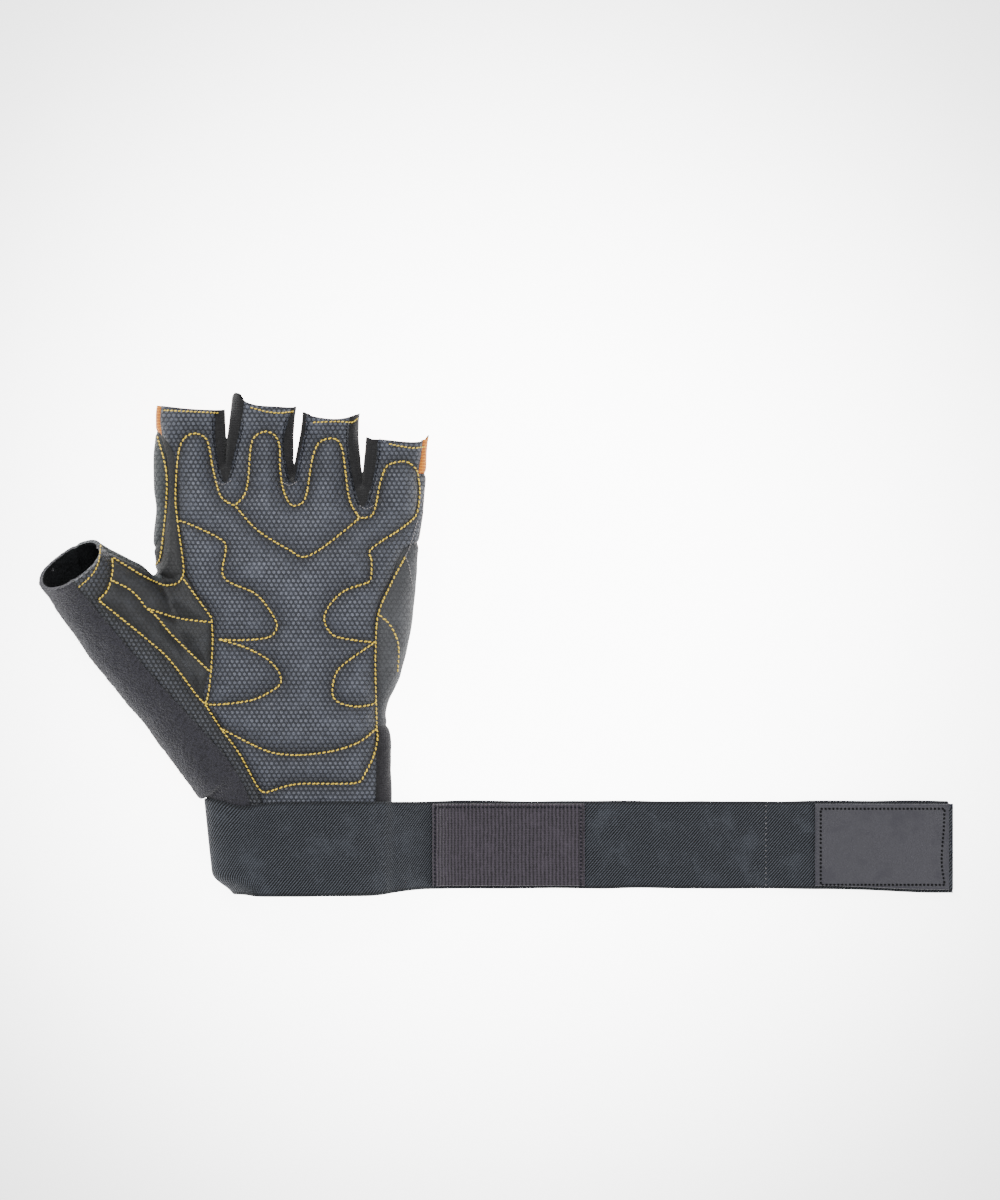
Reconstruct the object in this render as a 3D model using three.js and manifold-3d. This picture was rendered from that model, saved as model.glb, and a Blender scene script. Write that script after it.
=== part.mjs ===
// A fingerless weightlifting glove for the left hand. It lies on its back with the palm up, and its
// elastic wrist strap is open and laid out to the right.
// Millimetres, +Z up. X runs across the palm, Y from the wrist to the fingers. The origin is the
// middle of the strap's stretch under the wrist, on the surface that the glove lies on.
import * as THREE from 'three';
import { mergeVertices } from 'three/addons/utils/BufferGeometryUtils.js';
import Module from 'manifold-3d';

const wasm = await Module();
wasm.setup();

// Driving sizes
const knuckleWidth = 109; // across the four fingers, at the knuckles
const gloveLength = 165; // from the wrist rim to the middle finger's rim
const palmThickness = 33; // from the back to the top of the palm, at its thickest
const fingerThickness = 22; // of each finger stub
const thumbThickness = 25; // of the thumb, at its rim
const wallThickness = 2; // leather or cloth, with its backing
const seamGap = 0.3; // between two sewn pieces
const sideSeamHeight = 9; // of the seam between palm and back, above the surface
const stripSeamHeight = 4; // of the same seam along the little finger's side strip
const fourchetteLow = 5; // lowest edge of the strips between the fingers
const strapWidth = 38;
const strapThickness = 1.8;
const strapReach = 306; // from the fold on the thumb's side to the free end
const strapFall = 36; // how far the strap runs while it comes down from the wrist to the surface
const tapeStepRun = 8; // how far the strap runs while it climbs onto the hook tape
const loopPatchLength = 63;
const loopPatchStart = 92; // from the fold on the thumb's side to the loop patch
const loopPatchThickness = 1.2;
const endPatchLength = 55;
const endPatchThickness = 1.4;
const hookTapeLength = 78;
const hookTapeThickness = 1.2;
const patchMargin = 1.2; // strap that shows beside and past a patch
const bindingWidth = 8; // of the back's binding that shows past the strap

// Facets round each form
const bodySides = 32;
const fingerSides = 16;
const thumbSides = 20;
const wrappedSteps = 36; // of the strap round the wrist
const fallSteps = 12; // of the strap as it comes down to the surface

const rimY = strapWidth / 2 + 2;
const wristLift = strapThickness + seamGap;
const widestHeight = 0.36 * palmThickness; // of the level where the palm's section is widest
const backDrop = 1.12 * widestHeight; // from that level to the back, before it is flattened
const palmSquareness = 2.7; // 2 is an ellipse, and more is squarer
const mouthReach = 10; // how far a hollow is cut on past its rim
const farAway = 400; // reach of a cutting solid past everything that it cuts

// Lengths in the tables are shares: across and halfWidth of knuckleWidth, along of gloveLength.
const planX = (across) => across * knuckleWidth;
const planY = (along) => rimY + along * gloveLength;
const plan = ([across, along]) => new THREE.Vector2(planX(across), planY(along));

// The hand's main form. top is a share of palmThickness, hollow the dip in the middle of the palm as
// a share of it, and slant how far the right edge lies nearer the wrist, as a share of gloveLength.
const bodyRows = [
  { along: -0.04, left: -0.326, right: 0.352, top: 0.70, hollow: 0.00, slant: 0.00 },
  { along: -0.01, left: -0.326, right: 0.352, top: 0.70, hollow: 0.00, slant: 0.00 },
  { along: 0.03, left: -0.350, right: 0.352, top: 0.74, hollow: 0.01, slant: 0.00 },
  { along: 0.09, left: -0.385, right: 0.348, top: 0.80, hollow: 0.04, slant: 0.00 },
  { along: 0.15, left: -0.412, right: 0.345, top: 0.87, hollow: 0.07, slant: 0.00 },
  { along: 0.20, left: -0.440, right: 0.330, top: 0.92, hollow: 0.09, slant: 0.00 },
  { along: 0.30, left: -0.486, right: 0.381, top: 0.99, hollow: 0.12, slant: 0.00 },
  { along: 0.40, left: -0.515, right: 0.422, top: 1.00, hollow: 0.11, slant: 0.00 },
  { along: 0.50, left: -0.530, right: 0.441, top: 0.98, hollow: 0.09, slant: 0.00 },
  { along: 0.60, left: -0.532, right: 0.448, top: 0.93, hollow: 0.05, slant: 0.01 },
  { along: 0.70, left: -0.521, right: 0.460, top: 0.84, hollow: 0.02, slant: 0.03 },
  { along: 0.77, left: -0.520, right: 0.464, top: 0.74, hollow: 0.00, slant: 0.05 },
  { along: 0.80, left: -0.505, right: 0.450, top: 0.62, hollow: 0.00, slant: 0.05 },
];

// The finger stubs, from inside the palm to past their rims.
const fingers = {
  index: [
    { along: 0.64, centre: -0.394, halfWidth: 0.110 },
    { along: 0.81, centre: -0.402, halfWidth: 0.134 },
    { along: 0.89, centre: -0.401, halfWidth: 0.130 },
    { along: 1.05, centre: -0.393, halfWidth: 0.110 },
  ],
  middle: [
    { along: 0.64, centre: -0.150, halfWidth: 0.105 },
    { along: 0.81, centre: -0.141, halfWidth: 0.125 },
    { along: 0.89, centre: -0.132, halfWidth: 0.121 },
    { along: 1.06, centre: -0.100, halfWidth: 0.126 },
  ],
  ring: [
    { along: 0.62, centre: 0.111, halfWidth: 0.105 },
    { along: 0.80, centre: 0.114, halfWidth: 0.125 },
    { along: 0.89, centre: 0.117, halfWidth: 0.110 },
    { along: 1.04, centre: 0.140, halfWidth: 0.115 },
  ],
  little: [
    { along: 0.58, centre: 0.350, halfWidth: 0.092 },
    { along: 0.74, centre: 0.361, halfWidth: 0.116 },
    { along: 0.84, centre: 0.373, halfWidth: 0.112 },
    { along: 0.98, centre: 0.392, halfWidth: 0.113 },
  ],
};

// The thumb, from its rim to the wrist. Each section stands on the line from its outer to its inner
// edge. height is its middle as a share of palmThickness, half its half thickness as a share of
// thumbThickness, and lean the angle in degrees by which its axis rises.
const thumbRows = [
  { outer: [-0.947, 0.524], inner: [-0.731, 0.621], height: 0.98, half: 0.48, lean: 30 },
  { outer: [-0.902, 0.480], inner: [-0.690, 0.606], height: 0.85, half: 0.50, lean: 27 },
  { outer: [-0.850, 0.426], inner: [-0.628, 0.584], height: 0.73, half: 0.52, lean: 21 },
  { outer: [-0.790, 0.369], inner: [-0.548, 0.552], height: 0.63, half: 0.53, lean: 14 },
  { outer: [-0.715, 0.302], inner: [-0.450, 0.470], height: 0.55, half: 0.53, lean: 8 },
  { outer: [-0.573, 0.188], inner: [-0.320, 0.335], height: 0.47, half: 0.50, lean: 3 },
  { outer: [-0.442, 0.070], inner: [-0.219, 0.191], height: 0.40, half: 0.46, lean: 0 },
  { outer: [-0.358, -0.005], inner: [-0.150, 0.102], height: 0.39, half: 0.42, lean: 0 },
];

// Seams, as [across, along]
const guardPalmSeam = [
  [-0.62, 0.935], [-0.530, 0.905], [-0.502, 0.850], [-0.494, 0.780], [-0.500, 0.700],
  [-0.520, 0.630], [-0.556, 0.600], [-0.600, 0.640],
];
const thumbPalmSeam = [
  [-0.585, 0.605], [-0.545, 0.565], [-0.480, 0.541], [-0.427, 0.551], [-0.373, 0.497],
  [-0.323, 0.452], [-0.323, 0.324], [-0.350, 0.240], [-0.288, 0.176], [-0.208, 0.094],
  [-0.135, 0.000], [-0.115, -0.08],
];
const terryPalmSeam = [
  [-0.905, 0.600], [-0.835, 0.533], [-0.758, 0.472], [-0.642, 0.380], [-0.527, 0.291],
  [-0.373, 0.179], [-0.238, 0.074], [-0.181, 0.000], [-0.165, -0.08],
];
const gussetSeam = [
  [-0.427, 0.551], [-0.444, 0.675], [-0.452, 0.735], [-0.454, 0.800], [-0.472, 0.864],
  [-0.530, 0.905],
];
const tabSeam = [[0.308, 0.176], [0.305, 0.094], [0.300, 0.000], [0.298, -0.080]];
const stripPalmSeam = [
  [0.520, 0.640], [0.412, 0.615], [0.362, 0.538], [0.312, 0.464], [0.308, 0.324],
  [0.312, 0.184], [0.308, 0.176],
];
const terryBackSeam = [
  [-0.538, 0.436], [-0.527, 0.329], [-0.504, 0.230], [-0.481, 0.128], [-0.435, 0.064],
  [-0.373, 0.013], [-0.350, -0.08],
];
const guardBackSeam = [
  [-0.62, 0.935], [-0.496, 0.906], [-0.435, 0.875], [-0.404, 0.786], [-0.396, 0.635],
  [-0.412, 0.533], [-0.454, 0.482], [-0.538, 0.436], [-0.630, 0.440], [-0.720, 0.470],
  [-0.780, 0.515], [-0.815, 0.570], [-0.830, 0.660],
];
const bandTopSeam = [[0.60, 0.610], [0.454, 0.617], [0.069, 0.645], [-0.396, 0.640], [-0.45, 0.640]];
const bandLowSeam = [[0.60, 0.410], [0.423, 0.421], [-0.015, 0.452], [-0.412, 0.503], [-0.45, 0.510]];

// At two fingertips the back's fabric comes round the outer edge.
const indexTipSeam = [[-0.519, 0.895], [-0.492, 1.100]];
const littleTipSeam = [[0.700, 0.800], [0.466, 0.800], [0.496, 1.100]];

// The strips between the fingers: the palm leather's edge on both sides and the crotch between them.
const gaps = {
  index_middle: {
    left: [[-0.300, 1.10], [-0.304, 0.960], [-0.300, 0.880]],
    crotch: [-0.266, 0.780],
    right: [[-0.222, 0.880], [-0.200, 0.960], [-0.182, 1.10]],
  },
  middle_ring: {
    left: [[-0.005, 1.10], [-0.022, 0.960], [-0.042, 0.880]],
    crotch: [-0.016, 0.778],
    right: [[0.022, 0.880], [0.040, 0.960], [0.050, 1.10]],
  },
  ring_little: {
    left: [[0.232, 1.10], [0.205, 0.960], [0.200, 0.860]],
    crotch: [0.248, 0.718],
    right: [[0.298, 0.830], [0.305, 0.900], [0.315, 1.10]],
  },
};

// The rims of the finger stubs, from the index side to the little finger's. Each sags between corners.
const rimLine = [
  [-0.75, 0.968], [-0.519, 0.968], [-0.400, 0.960], [-0.282, 0.958], [-0.262, 0.962],
  [-0.240, 0.985], [-0.222, 1.001], [-0.200, 0.983], [-0.160, 0.971], [-0.080, 0.966],
  [-0.006, 0.966], [0.004, 0.972], [0.012, 0.966], [0.020, 0.957], [0.060, 0.943],
  [0.150, 0.935], [0.215, 0.944], [0.248, 0.952], [0.262, 0.930], [0.268, 0.890],
  [0.330, 0.884], [0.440, 0.878], [0.475, 0.883], [0.500, 0.900], [0.70, 0.905],
];

// A closed solid from a geometry, with its faces pointing out.
function solid(geometry) {
  const bare = geometry.index ? geometry.toNonIndexed() : geometry.clone();
  bare.deleteAttribute('normal');
  bare.deleteAttribute('uv');
  const merged = mergeVertices(bare, 1e-4);
  return new wasm.Manifold(new wasm.Mesh({
    numProp: 3,
    vertProperties: merged.attributes.position.array,
    triVerts: new Uint32Array(merged.index.array),
  }));
}

const join = (solids) => solids.reduce((all, one) => all.add(one));

// A closed skin over rings of points that all run the same way round, with a flat cap at each end.
function loft(rings) {
  const sides = rings[0].length;
  const points = rings.flat();
  const faces = [];
  rings.slice(1).forEach((_, r) => {
    for (let i = 0; i < sides; i += 1) {
      const next = (i + 1) % sides;
      const [a, b, c, d] = [r * sides + i, r * sides + next, (r + 1) * sides + next, (r + 1) * sides + i];
      faces.push(a, b, c, a, c, d);
    }
  });
  const last = (rings.length - 1) * sides;
  for (let i = 1; i < sides - 1; i += 1) {
    faces.push(0, i + 1, i, last, last + i, last + i + 1);
  }
  const geometry = new THREE.BufferGeometry().setFromPoints(points);
  geometry.setIndex(faces);
  return geometry;
}

// One rounded section. Its lower side is flattened where it rests at floor.
function section({ centre, across, up, halfWidth, above, below, floor, sides, squareness, hollow = 0 }) {
  const round = (value) => Math.sign(value) * Math.abs(value) ** (2 / squareness);
  return Array.from({ length: sides }, (_, i) => {
    const angle = (i / sides) * 2 * Math.PI;
    const side = round(Math.cos(angle));
    const rise = round(Math.sin(angle));
    const height = rise > 0 ? rise * (above - hollow * (1 - side * side) ** 2) : rise * below;
    const point = centre.clone().addScaledVector(across, side * halfWidth).addScaledVector(up, height);
    point.z = Math.max(point.z, floor);
    return point;
  });
}

// Rows between the rows of a table, on one smooth curve through them.
function smoothRows(rows, count) {
  const names = Object.keys(rows[0]).filter((name) => name !== 'along');
  const curve = new THREE.CubicInterpolant(
    rows.map((row) => row.along),
    rows.flatMap((row) => names.map((name) => row[name])),
    names.length,
  );
  const [first, last] = [rows[0].along, rows[rows.length - 1].along];
  return Array.from({ length: count }, (_, i) => {
    const along = THREE.MathUtils.lerp(first, last, i / (count - 1));
    const values = curve.evaluate(along);
    return { along, ...Object.fromEntries(names.map((name, n) => [name, values[n]])) };
  });
}

// The back is lifted by the strap that lies under the wrist.
const floorAt = (along) => wristLift * THREE.MathUtils.smoothstep(0.13 - along, 0, 0.11);

// The palm and back, shrunk by inset. With a reach it runs on past the wrist's rim.
function bodySolid(inset, reach) {
  const rows = smoothRows(bodyRows, 18);
  if (reach > 0) rows.unshift({ ...rows[0], along: rows[0].along - reach / gloveLength });
  const rings = rows.map((row) => {
    const halfWidth = planX((row.right - row.left) / 2) - inset;
    const slant = (row.slant * gloveLength) / halfWidth;
    const floor = floorAt(row.along) + inset;
    const y = planY(row.along) - (row.slant > 0 ? inset : 0);
    return section({
      centre: new THREE.Vector3(planX((row.left + row.right) / 2), y, widestHeight),
      across: new THREE.Vector3(1, -slant, 0),
      up: new THREE.Vector3(0, row.slant > 0 ? -0.3 : 0, 1),
      halfWidth,
      above: row.top * palmThickness - widestHeight - inset,
      below: backDrop - floor,
      floor,
      sides: bodySides,
      squareness: palmSquareness,
      hollow: row.hollow * palmThickness,
    });
  });
  return solid(loft(rings.reverse()));
}

function fingerSolid(rows, inset, reach) {
  const rings = smoothRows(rows, 6).map((row, i, all) => {
    const y = planY(row.along) + (i === all.length - 1 ? reach : 0);
    return section({
      centre: new THREE.Vector3(planX(row.centre), y, fingerThickness / 2),
      across: new THREE.Vector3(1, 0, 0),
      up: new THREE.Vector3(0, 0, 1),
      halfWidth: planX(row.halfWidth) - inset,
      above: fingerThickness / 2 - inset,
      below: fingerThickness / 2 - inset,
      floor: inset,
      sides: fingerSides,
      squareness: 2.4,
    });
  });
  return solid(loft(rings.reverse()));
}

function thumbSolid(inset, reach) {
  const rings = thumbRows.map((row) => {
    const [outer, inner] = [plan(row.outer), plan(row.inner)];
    const middle = outer.clone().add(inner).multiplyScalar(0.5);
    const across = new THREE.Vector3(inner.x - outer.x, inner.y - outer.y, 0);
    const halfWidth = across.length() / 2 - inset;
    across.normalize();
    const lean = THREE.MathUtils.degToRad(row.lean);
    const ahead = new THREE.Vector3(-across.y, across.x, 0).multiplyScalar(Math.cos(lean));
    ahead.z = Math.sin(lean);
    return {
      centre: new THREE.Vector3(middle.x, middle.y, row.height * palmThickness),
      across,
      ahead,
      up: new THREE.Vector3().crossVectors(across, ahead),
      halfWidth,
      above: row.half * thumbThickness - inset,
      below: row.half * thumbThickness - inset,
      floor: floorAt(row.outer[1]) + inset,
      sides: thumbSides,
      squareness: 2.3,
    };
  });
  if (reach > 0) {
    const rim = rings[0];
    rings.unshift({ ...rim, centre: rim.centre.clone().addScaledVector(rim.ahead, reach) });
  }
  return solid(loft(rings.map(section)));
}

// The plan polygon of outline, from one height to another.
function prism(outline, low, high) {
  const shape = new THREE.Shape(outline);
  const geometry = new THREE.ExtrudeGeometry(shape, { depth: high - low, bevelEnabled: false });
  return solid(geometry.translate(0, 0, low));
}

// A thin wall along a seam, which parts the pieces on its two sides.
function knife(seam, low, high) {
  const line = seam.map(plan);
  const rings = line.map((point, i) => {
    const before = line[Math.max(i - 1, 0)];
    const after = line[Math.min(i + 1, line.length - 1)];
    const ahead = after.clone().sub(before).normalize();
    const side = new THREE.Vector2(-ahead.y, ahead.x).multiplyScalar(seamGap / 2);
    const [a, b] = [point.clone().add(side), point.clone().sub(side)];
    return [
      new THREE.Vector3(a.x, a.y, low), new THREE.Vector3(b.x, b.y, low),
      new THREE.Vector3(b.x, b.y, high), new THREE.Vector3(a.x, a.y, high),
    ];
  });
  const made = solid(loft(rings));
  return made.volume() > 0 ? made : solid(loft(rings.reverse()));
}

// Everything above the thumb's middle, stepped up by lift: it rises along the thumb as its axis does.
function aboveThumb(lift) {
  const middles = thumbRows.map((row) => plan(row.outer).add(plan(row.inner)).multiplyScalar(0.5));
  const root = middles[middles.length - 1];
  const ahead = middles[0].clone().sub(root).normalize();
  const profile = thumbRows.map((row, i) => new THREE.Vector2(
    middles[i].clone().sub(root).dot(ahead),
    row.height * palmThickness + lift,
  )).reverse();
  const [start, end] = [profile[0], profile[profile.length - 1]];
  const outline = [
    new THREE.Vector2(-farAway, start.y), ...profile, new THREE.Vector2(farAway, end.y),
    new THREE.Vector2(farAway, farAway), new THREE.Vector2(-farAway, farAway),
  ];
  const geometry = new THREE.ExtrudeGeometry(
    new THREE.Shape(outline),
    { depth: 2 * farAway, bevelEnabled: false },
  );
  geometry.translate(0, 0, -farAway);
  const basis = new THREE.Matrix4().makeBasis(
    new THREE.Vector3(ahead.x, ahead.y, 0),
    new THREE.Vector3(0, 0, 1),
    new THREE.Vector3(ahead.y, -ahead.x, 0),
  );
  basis.setPosition(root.x, root.y, 0);
  return solid(geometry.applyMatrix4(basis));
}

// The glove's hollow shell, before it is cut into its pieces
function gloveShell() {
  const outer = join([
    bodySolid(0, 0),
    ...Object.values(fingers).map((rows) => fingerSolid(rows, 0, 0)),
    thumbSolid(0, 0),
  ]);
  const inner = join([
    bodySolid(wallThickness, mouthReach),
    ...Object.values(fingers).map((rows) => fingerSolid(rows, wallThickness, mouthReach)),
    thumbSolid(wallThickness, mouthReach),
  ]);
  const beyondRims = prism(
    [...rimLine.map(plan), plan([0.70, 1.4]), plan([-0.75, 1.4])],
    -farAway,
    farAway,
  );
  return outer.subtract(inner).subtract(beyondRims);
}

const outsideThumb = [[-1.4, -0.08], [-1.4, 1.2]];
const everywhere = [[-1.4, -0.3], [0.9, -0.3], [0.9, 1.4], [-1.4, 1.4]];
const area = (seams, low = -farAway, high = farAway) => prism(seams.map(plan), low, high);
const gapOutline = (gap) => [...gap.left, gap.crotch, ...gap.right];

// The glove's pieces, each a share of the shell with seamGap to its neighbours
function glovePieces() {
  const edge = sideSeamHeight;
  const guardTop = area([...guardPalmSeam, [-0.700, 0.800], [-0.750, 1.100]]);
  const guardUnder = area([...guardBackSeam, [-0.830, 1.000], [-0.830, 1.100]]);
  const gussetZone = area([
    ...gussetSeam, ...guardPalmSeam.slice(2), ...thumbPalmSeam.slice(0, 3),
  ]);
  const stripZone = area([...stripPalmSeam, [0.700, 0.176], [0.700, 0.640]]);
  const tabZone = area([...tabSeam, [0.700, -0.080], [0.700, 0.176]]);
  const overThumb = aboveThumb(seamGap / 2);
  const underThumb = area(everywhere).subtract(aboveThumb(-seamGap / 2));
  const thumbFace = area([
    ...terryPalmSeam, ...thumbPalmSeam.toReversed(), [-0.700, 0.800], [-0.950, 0.800],
  ]);
  const terryOver = area([...terryPalmSeam, ...outsideThumb]);
  const terryUnder = area([
    ...terryBackSeam, ...outsideThumb, [-0.830, 1.000], ...guardBackSeam.slice(8).toReversed(),
  ]);
  const thumbReach = area([
    [-1.100, 0.400], [-0.440, 0.400], [-0.440, 0.550], ...thumbPalmSeam.slice(0, 3).toReversed(),
    [-0.700, 0.800], [-1.100, 0.950],
  ]);
  const thumbInside = area([
    [-0.600, 0.440], [-0.500, 0.440], [-0.500, 0.660], [-0.750, 0.900], [-0.950, 0.750],
    [-0.839, 0.572], [-0.739, 0.505],
  ]);
  const bindingEdge = (bindingWidth - 2) / gloveLength;
  const tipEdges = join([
    area([[-0.700, 0.895], ...indexTipSeam, [-0.700, 1.100]]),
    area([...littleTipSeam, [0.700, 1.100]]),
  ]);
  const gapZones = Object.values(gaps).map((gap) => area(gapOutline(gap)));

  let cloth = gloveShell().subtract(join([
    knife(guardPalmSeam, edge, farAway),
    knife(thumbPalmSeam, edge, farAway),
    knife(gussetSeam, edge, farAway),
    knife(terryPalmSeam, edge, farAway).intersect(aboveThumb(0)),
    knife([...stripPalmSeam, [0.700, 0.176]], stripSeamHeight, farAway),
    knife(tabSeam, stripSeamHeight, farAway),
    knife(terryBackSeam, -farAway, edge),
    knife(guardBackSeam.slice(0, 8), -farAway, edge),
    knife(guardBackSeam.slice(7), -farAway, farAway).intersect(underThumb),
    knife(indexTipSeam, edge, farAway),
    knife(littleTipSeam, edge, farAway),
    knife(bandTopSeam, -farAway, edge),
    knife(bandLowSeam, -farAway, edge),
    knife([[-0.500, bindingEdge], [0.500, bindingEdge]], -farAway, edge),
    ...Object.values(gaps).map((gap) => knife(gapOutline(gap), fourchetteLow, farAway)),
  ]));
  const sideZone = join([stripZone, tabZone]);
  const wrapped = join([guardTop, guardUnder, terryOver, sideZone, tipEdges, ...gapZones]);
  const level = (height) => area(everywhere, height - seamGap / 2, height + seamGap / 2);
  cloth = cloth.subtract(level(edge).subtract(wrapped));
  cloth = cloth.subtract(level(stripSeamHeight).intersect(sideZone));
  cloth = cloth.subtract(aboveThumb(-seamGap / 2).intersect(thumbInside).subtract(overThumb));
  cloth = cloth.subtract(level(fourchetteLow).intersect(join(gapZones)));

  const pieces = {};
  const take = (name, region) => {
    pieces[name] = cloth.intersect(region);
    cloth = cloth.subtract(region);
  };
  const above = (height) => area(everywhere, height, farAway);
  Object.keys(gaps).forEach((name, i) => {
    take(`fourchette_${name}`, gapZones[i].intersect(above(fourchetteLow)));
  });
  const guardUnderPalm = area(everywhere, -farAway, edge + seamGap);
  const guard = guardTop.intersect(above(edge))
    .add(guardUnder.intersect(join([guardUnderPalm, underThumb.intersect(thumbReach)])));
  take('index_guard', guard.subtract(terryUnder.subtract(above(edge))));
  take('crotch_gusset', gussetZone.intersect(above(edge)));
  take('side_strip_little', stripZone.intersect(above(stripSeamHeight)));
  take('wrist_tab', tabZone.intersect(above(stripSeamHeight)));
  take('thumb_palm_panel', thumbFace.intersect(above(edge)).intersect(overThumb));
  take('thumb_terry_panel', terryOver.intersect(above(edge)).add(terryUnder.intersect(underThumb)));
  take('palm_panel', above(edge).subtract(tipEdges));
  take('back_band', area([...bandTopSeam, ...bandLowSeam.toReversed()]));
  take('back_upper_panel', tipEdges.add(area([
    ...bandTopSeam.slice(0, -1), [-0.700, 0.640], [-0.700, 1.200], [0.600, 1.200],
  ])));
  take('wrist_binding', area([[-1, -0.1], [1, -0.1], [1, bindingEdge], [-1, bindingEdge]]));
  pieces.back_lower_panel = cloth;
  return pieces;
}

// The middle line of the strap in the XZ plane: under the wrist, round the fold on the thumb's side,
// over the palm, down to the surface and out to the free end.
function strapLine() {
  const rim = bodyRows[0];
  const grow = 2 * seamGap + strapThickness / 2;
  const sides = 48;
  const tuckedEnd = 40; // the corner of the wrist's ring under which the strap starts
  const ring = section({
    centre: new THREE.Vector3(planX((rim.left + rim.right) / 2), 0, widestHeight),
    across: new THREE.Vector3(1, 0, 0),
    up: new THREE.Vector3(0, 0, 1),
    halfWidth: planX((rim.right - rim.left) / 2) + grow,
    above: rim.top * palmThickness - widestHeight + grow,
    below: backDrop - wristLift + grow,
    floor: strapThickness / 2,
    sides,
    squareness: palmSquareness,
  });
  const line = [];
  for (let step = 0; step <= wrappedSteps; step += 1) {
    const point = ring[(sides + tuckedEnd - step) % sides];
    line.push(new THREE.Vector2(point.x, point.z));
  }
  const fold = Math.min(...line.map((point) => point.x));
  const freeEnd = fold + strapReach;
  const top = line[line.length - 1];
  const drop = top.y - strapThickness / 2;
  for (let step = 1; step <= fallSteps; step += 1) {
    const share = step / fallSteps;
    const height = top.y - drop * THREE.MathUtils.smootherstep(share, -0.35, 1);
    line.push(new THREE.Vector2(top.x + share * strapFall, height));
  }
  const climb = hookTapeThickness + seamGap;
  const tapeStart = freeEnd - hookTapeLength;
  const flat = strapThickness / 2;
  for (const [before, climbed] of [[1, 0], [0.62, 0.3], [0.38, 0.7], [0, 1]]) {
    line.push(new THREE.Vector2(tapeStart - before * tapeStepRun, flat + climbed * climb));
  }
  line.push(new THREE.Vector2(freeEnd, flat + climb));
  return { line, fold, freeEnd };
}

// A flat band of one thickness along a line in the XZ plane, level above it by offset.
function band(line, offset, thickness, width) {
  const sides = [offset + thickness / 2, offset - thickness / 2].map((reach) => line.map((point, i) => {
    const before = line[Math.max(i - 1, 0)];
    const after = line[Math.min(i + 1, line.length - 1)];
    const ahead = after.clone().sub(before).normalize();
    return point.clone().addScaledVector(new THREE.Vector2(-ahead.y, ahead.x), reach);
  }));
  const shape = new THREE.Shape([...sides[0], ...sides[1].toReversed()]);
  const geometry = new THREE.ExtrudeGeometry(shape, { depth: width, bevelEnabled: false });
  geometry.rotateX(Math.PI / 2);
  return solid(geometry.translate(0, width / 2, 0));
}

// The stretch of a line between two places along X, past the fold.
function stretch(line, from, to) {
  const first = line.findIndex((point, i) => i > wrappedSteps && point.x > from);
  const at = (x) => {
    const i = line.findIndex((point, n) => n >= first && point.x > x);
    return line[i - 1].clone().lerp(line[i], (x - line[i - 1].x) / (line[i].x - line[i - 1].x));
  };
  const inside = line.slice(first).filter((point) => point.x > from + 0.5 && point.x < to - 0.5);
  return [at(from), ...inside, at(to)];
}

function strapPieces() {
  const { line, fold, freeEnd } = strapLine();
  const patchWidth = strapWidth - 2 * patchMargin;
  const onTop = (thickness) => strapThickness / 2 + seamGap + thickness / 2;
  const loopStart = fold + loopPatchStart;
  const endStart = freeEnd - patchMargin - endPatchLength;
  const loopLine = stretch(line, loopStart, loopStart + loopPatchLength);
  const endLine = stretch(line, endStart, endStart + endPatchLength);
  const tapeHeight = hookTapeThickness / 2;
  const tapeLine = [freeEnd - hookTapeLength, freeEnd].map((x) => new THREE.Vector2(x, tapeHeight));
  return {
    wrist_strap: band(line, 0, strapThickness, strapWidth),
    loop_patch: band(loopLine, onTop(loopPatchThickness), loopPatchThickness, patchWidth),
    end_patch: band(endLine, onTop(endPatchThickness), endPatchThickness, patchWidth),
    end_hook: band(tapeLine, 0, hookTapeThickness, patchWidth),
  };
}

const finishes = {
  palm_panel: { color: '#34363b', roughness: 0.55, metalness: 0 },
  thumb_palm_panel: { color: '#35343a', roughness: 0.6, metalness: 0 },
  crotch_gusset: { color: '#2b2b31', roughness: 0.6, metalness: 0 },
  side_strip_little: { color: '#2c2d33', roughness: 0.6, metalness: 0 },
  index_guard: { color: '#2a2f33', roughness: 0.55, metalness: 0 },
  back_upper_panel: { color: '#e8a03c', roughness: 0.85, metalness: 0 },
  back_lower_panel: { color: '#e59a38', roughness: 0.85, metalness: 0 },
  back_band: { color: '#1d2030', roughness: 0.7, metalness: 0 },
  fourchette_index_middle: { color: '#1c1d24', roughness: 0.85, metalness: 0 },
  fourchette_middle_ring: { color: '#1c1d24', roughness: 0.85, metalness: 0 },
  fourchette_ring_little: { color: '#1c1d24', roughness: 0.85, metalness: 0 },
  thumb_terry_panel: { color: '#3a3846', roughness: 0.95, metalness: 0 },
  wrist_binding: { color: '#1f2130', roughness: 0.85, metalness: 0 },
  wrist_tab: { color: '#20212b', roughness: 0.85, metalness: 0 },
  wrist_strap: { color: '#252a3c', roughness: 0.75, metalness: 0 },
  loop_patch: { color: '#2f2b3a', roughness: 0.95, metalness: 0 },
  end_patch: { color: '#4b4c50', roughness: 0.6, metalness: 0 },
  end_hook: { color: '#1e2030', roughness: 0.8, metalness: 0 },
};

const group = new THREE.Group();
for (const [name, made] of Object.entries({ ...glovePieces(), ...strapPieces() })) {
  // Cuts that run nearly along a wall leave splinters beside the piece, which is the largest body.
  const piece = made.decompose().reduce((best, one) => (one.volume() > best.volume() ? one : best));
  const { vertProperties, triVerts } = piece.getMesh();
  const geometry = new THREE.BufferGeometry();
  geometry.setAttribute('position', new THREE.BufferAttribute(vertProperties, 3));
  geometry.setIndex(new THREE.BufferAttribute(triVerts, 1));
  const mesh = new THREE.Mesh(geometry, new THREE.MeshStandardMaterial(finishes[name]));
  mesh.name = name;
  group.add(mesh);
}

export default group;
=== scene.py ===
import math

import bpy
import bmesh
import numpy as np
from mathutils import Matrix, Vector, noise
from mathutils.bvhtree import BVHTree
from mathutils.kdtree import KDTree


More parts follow.
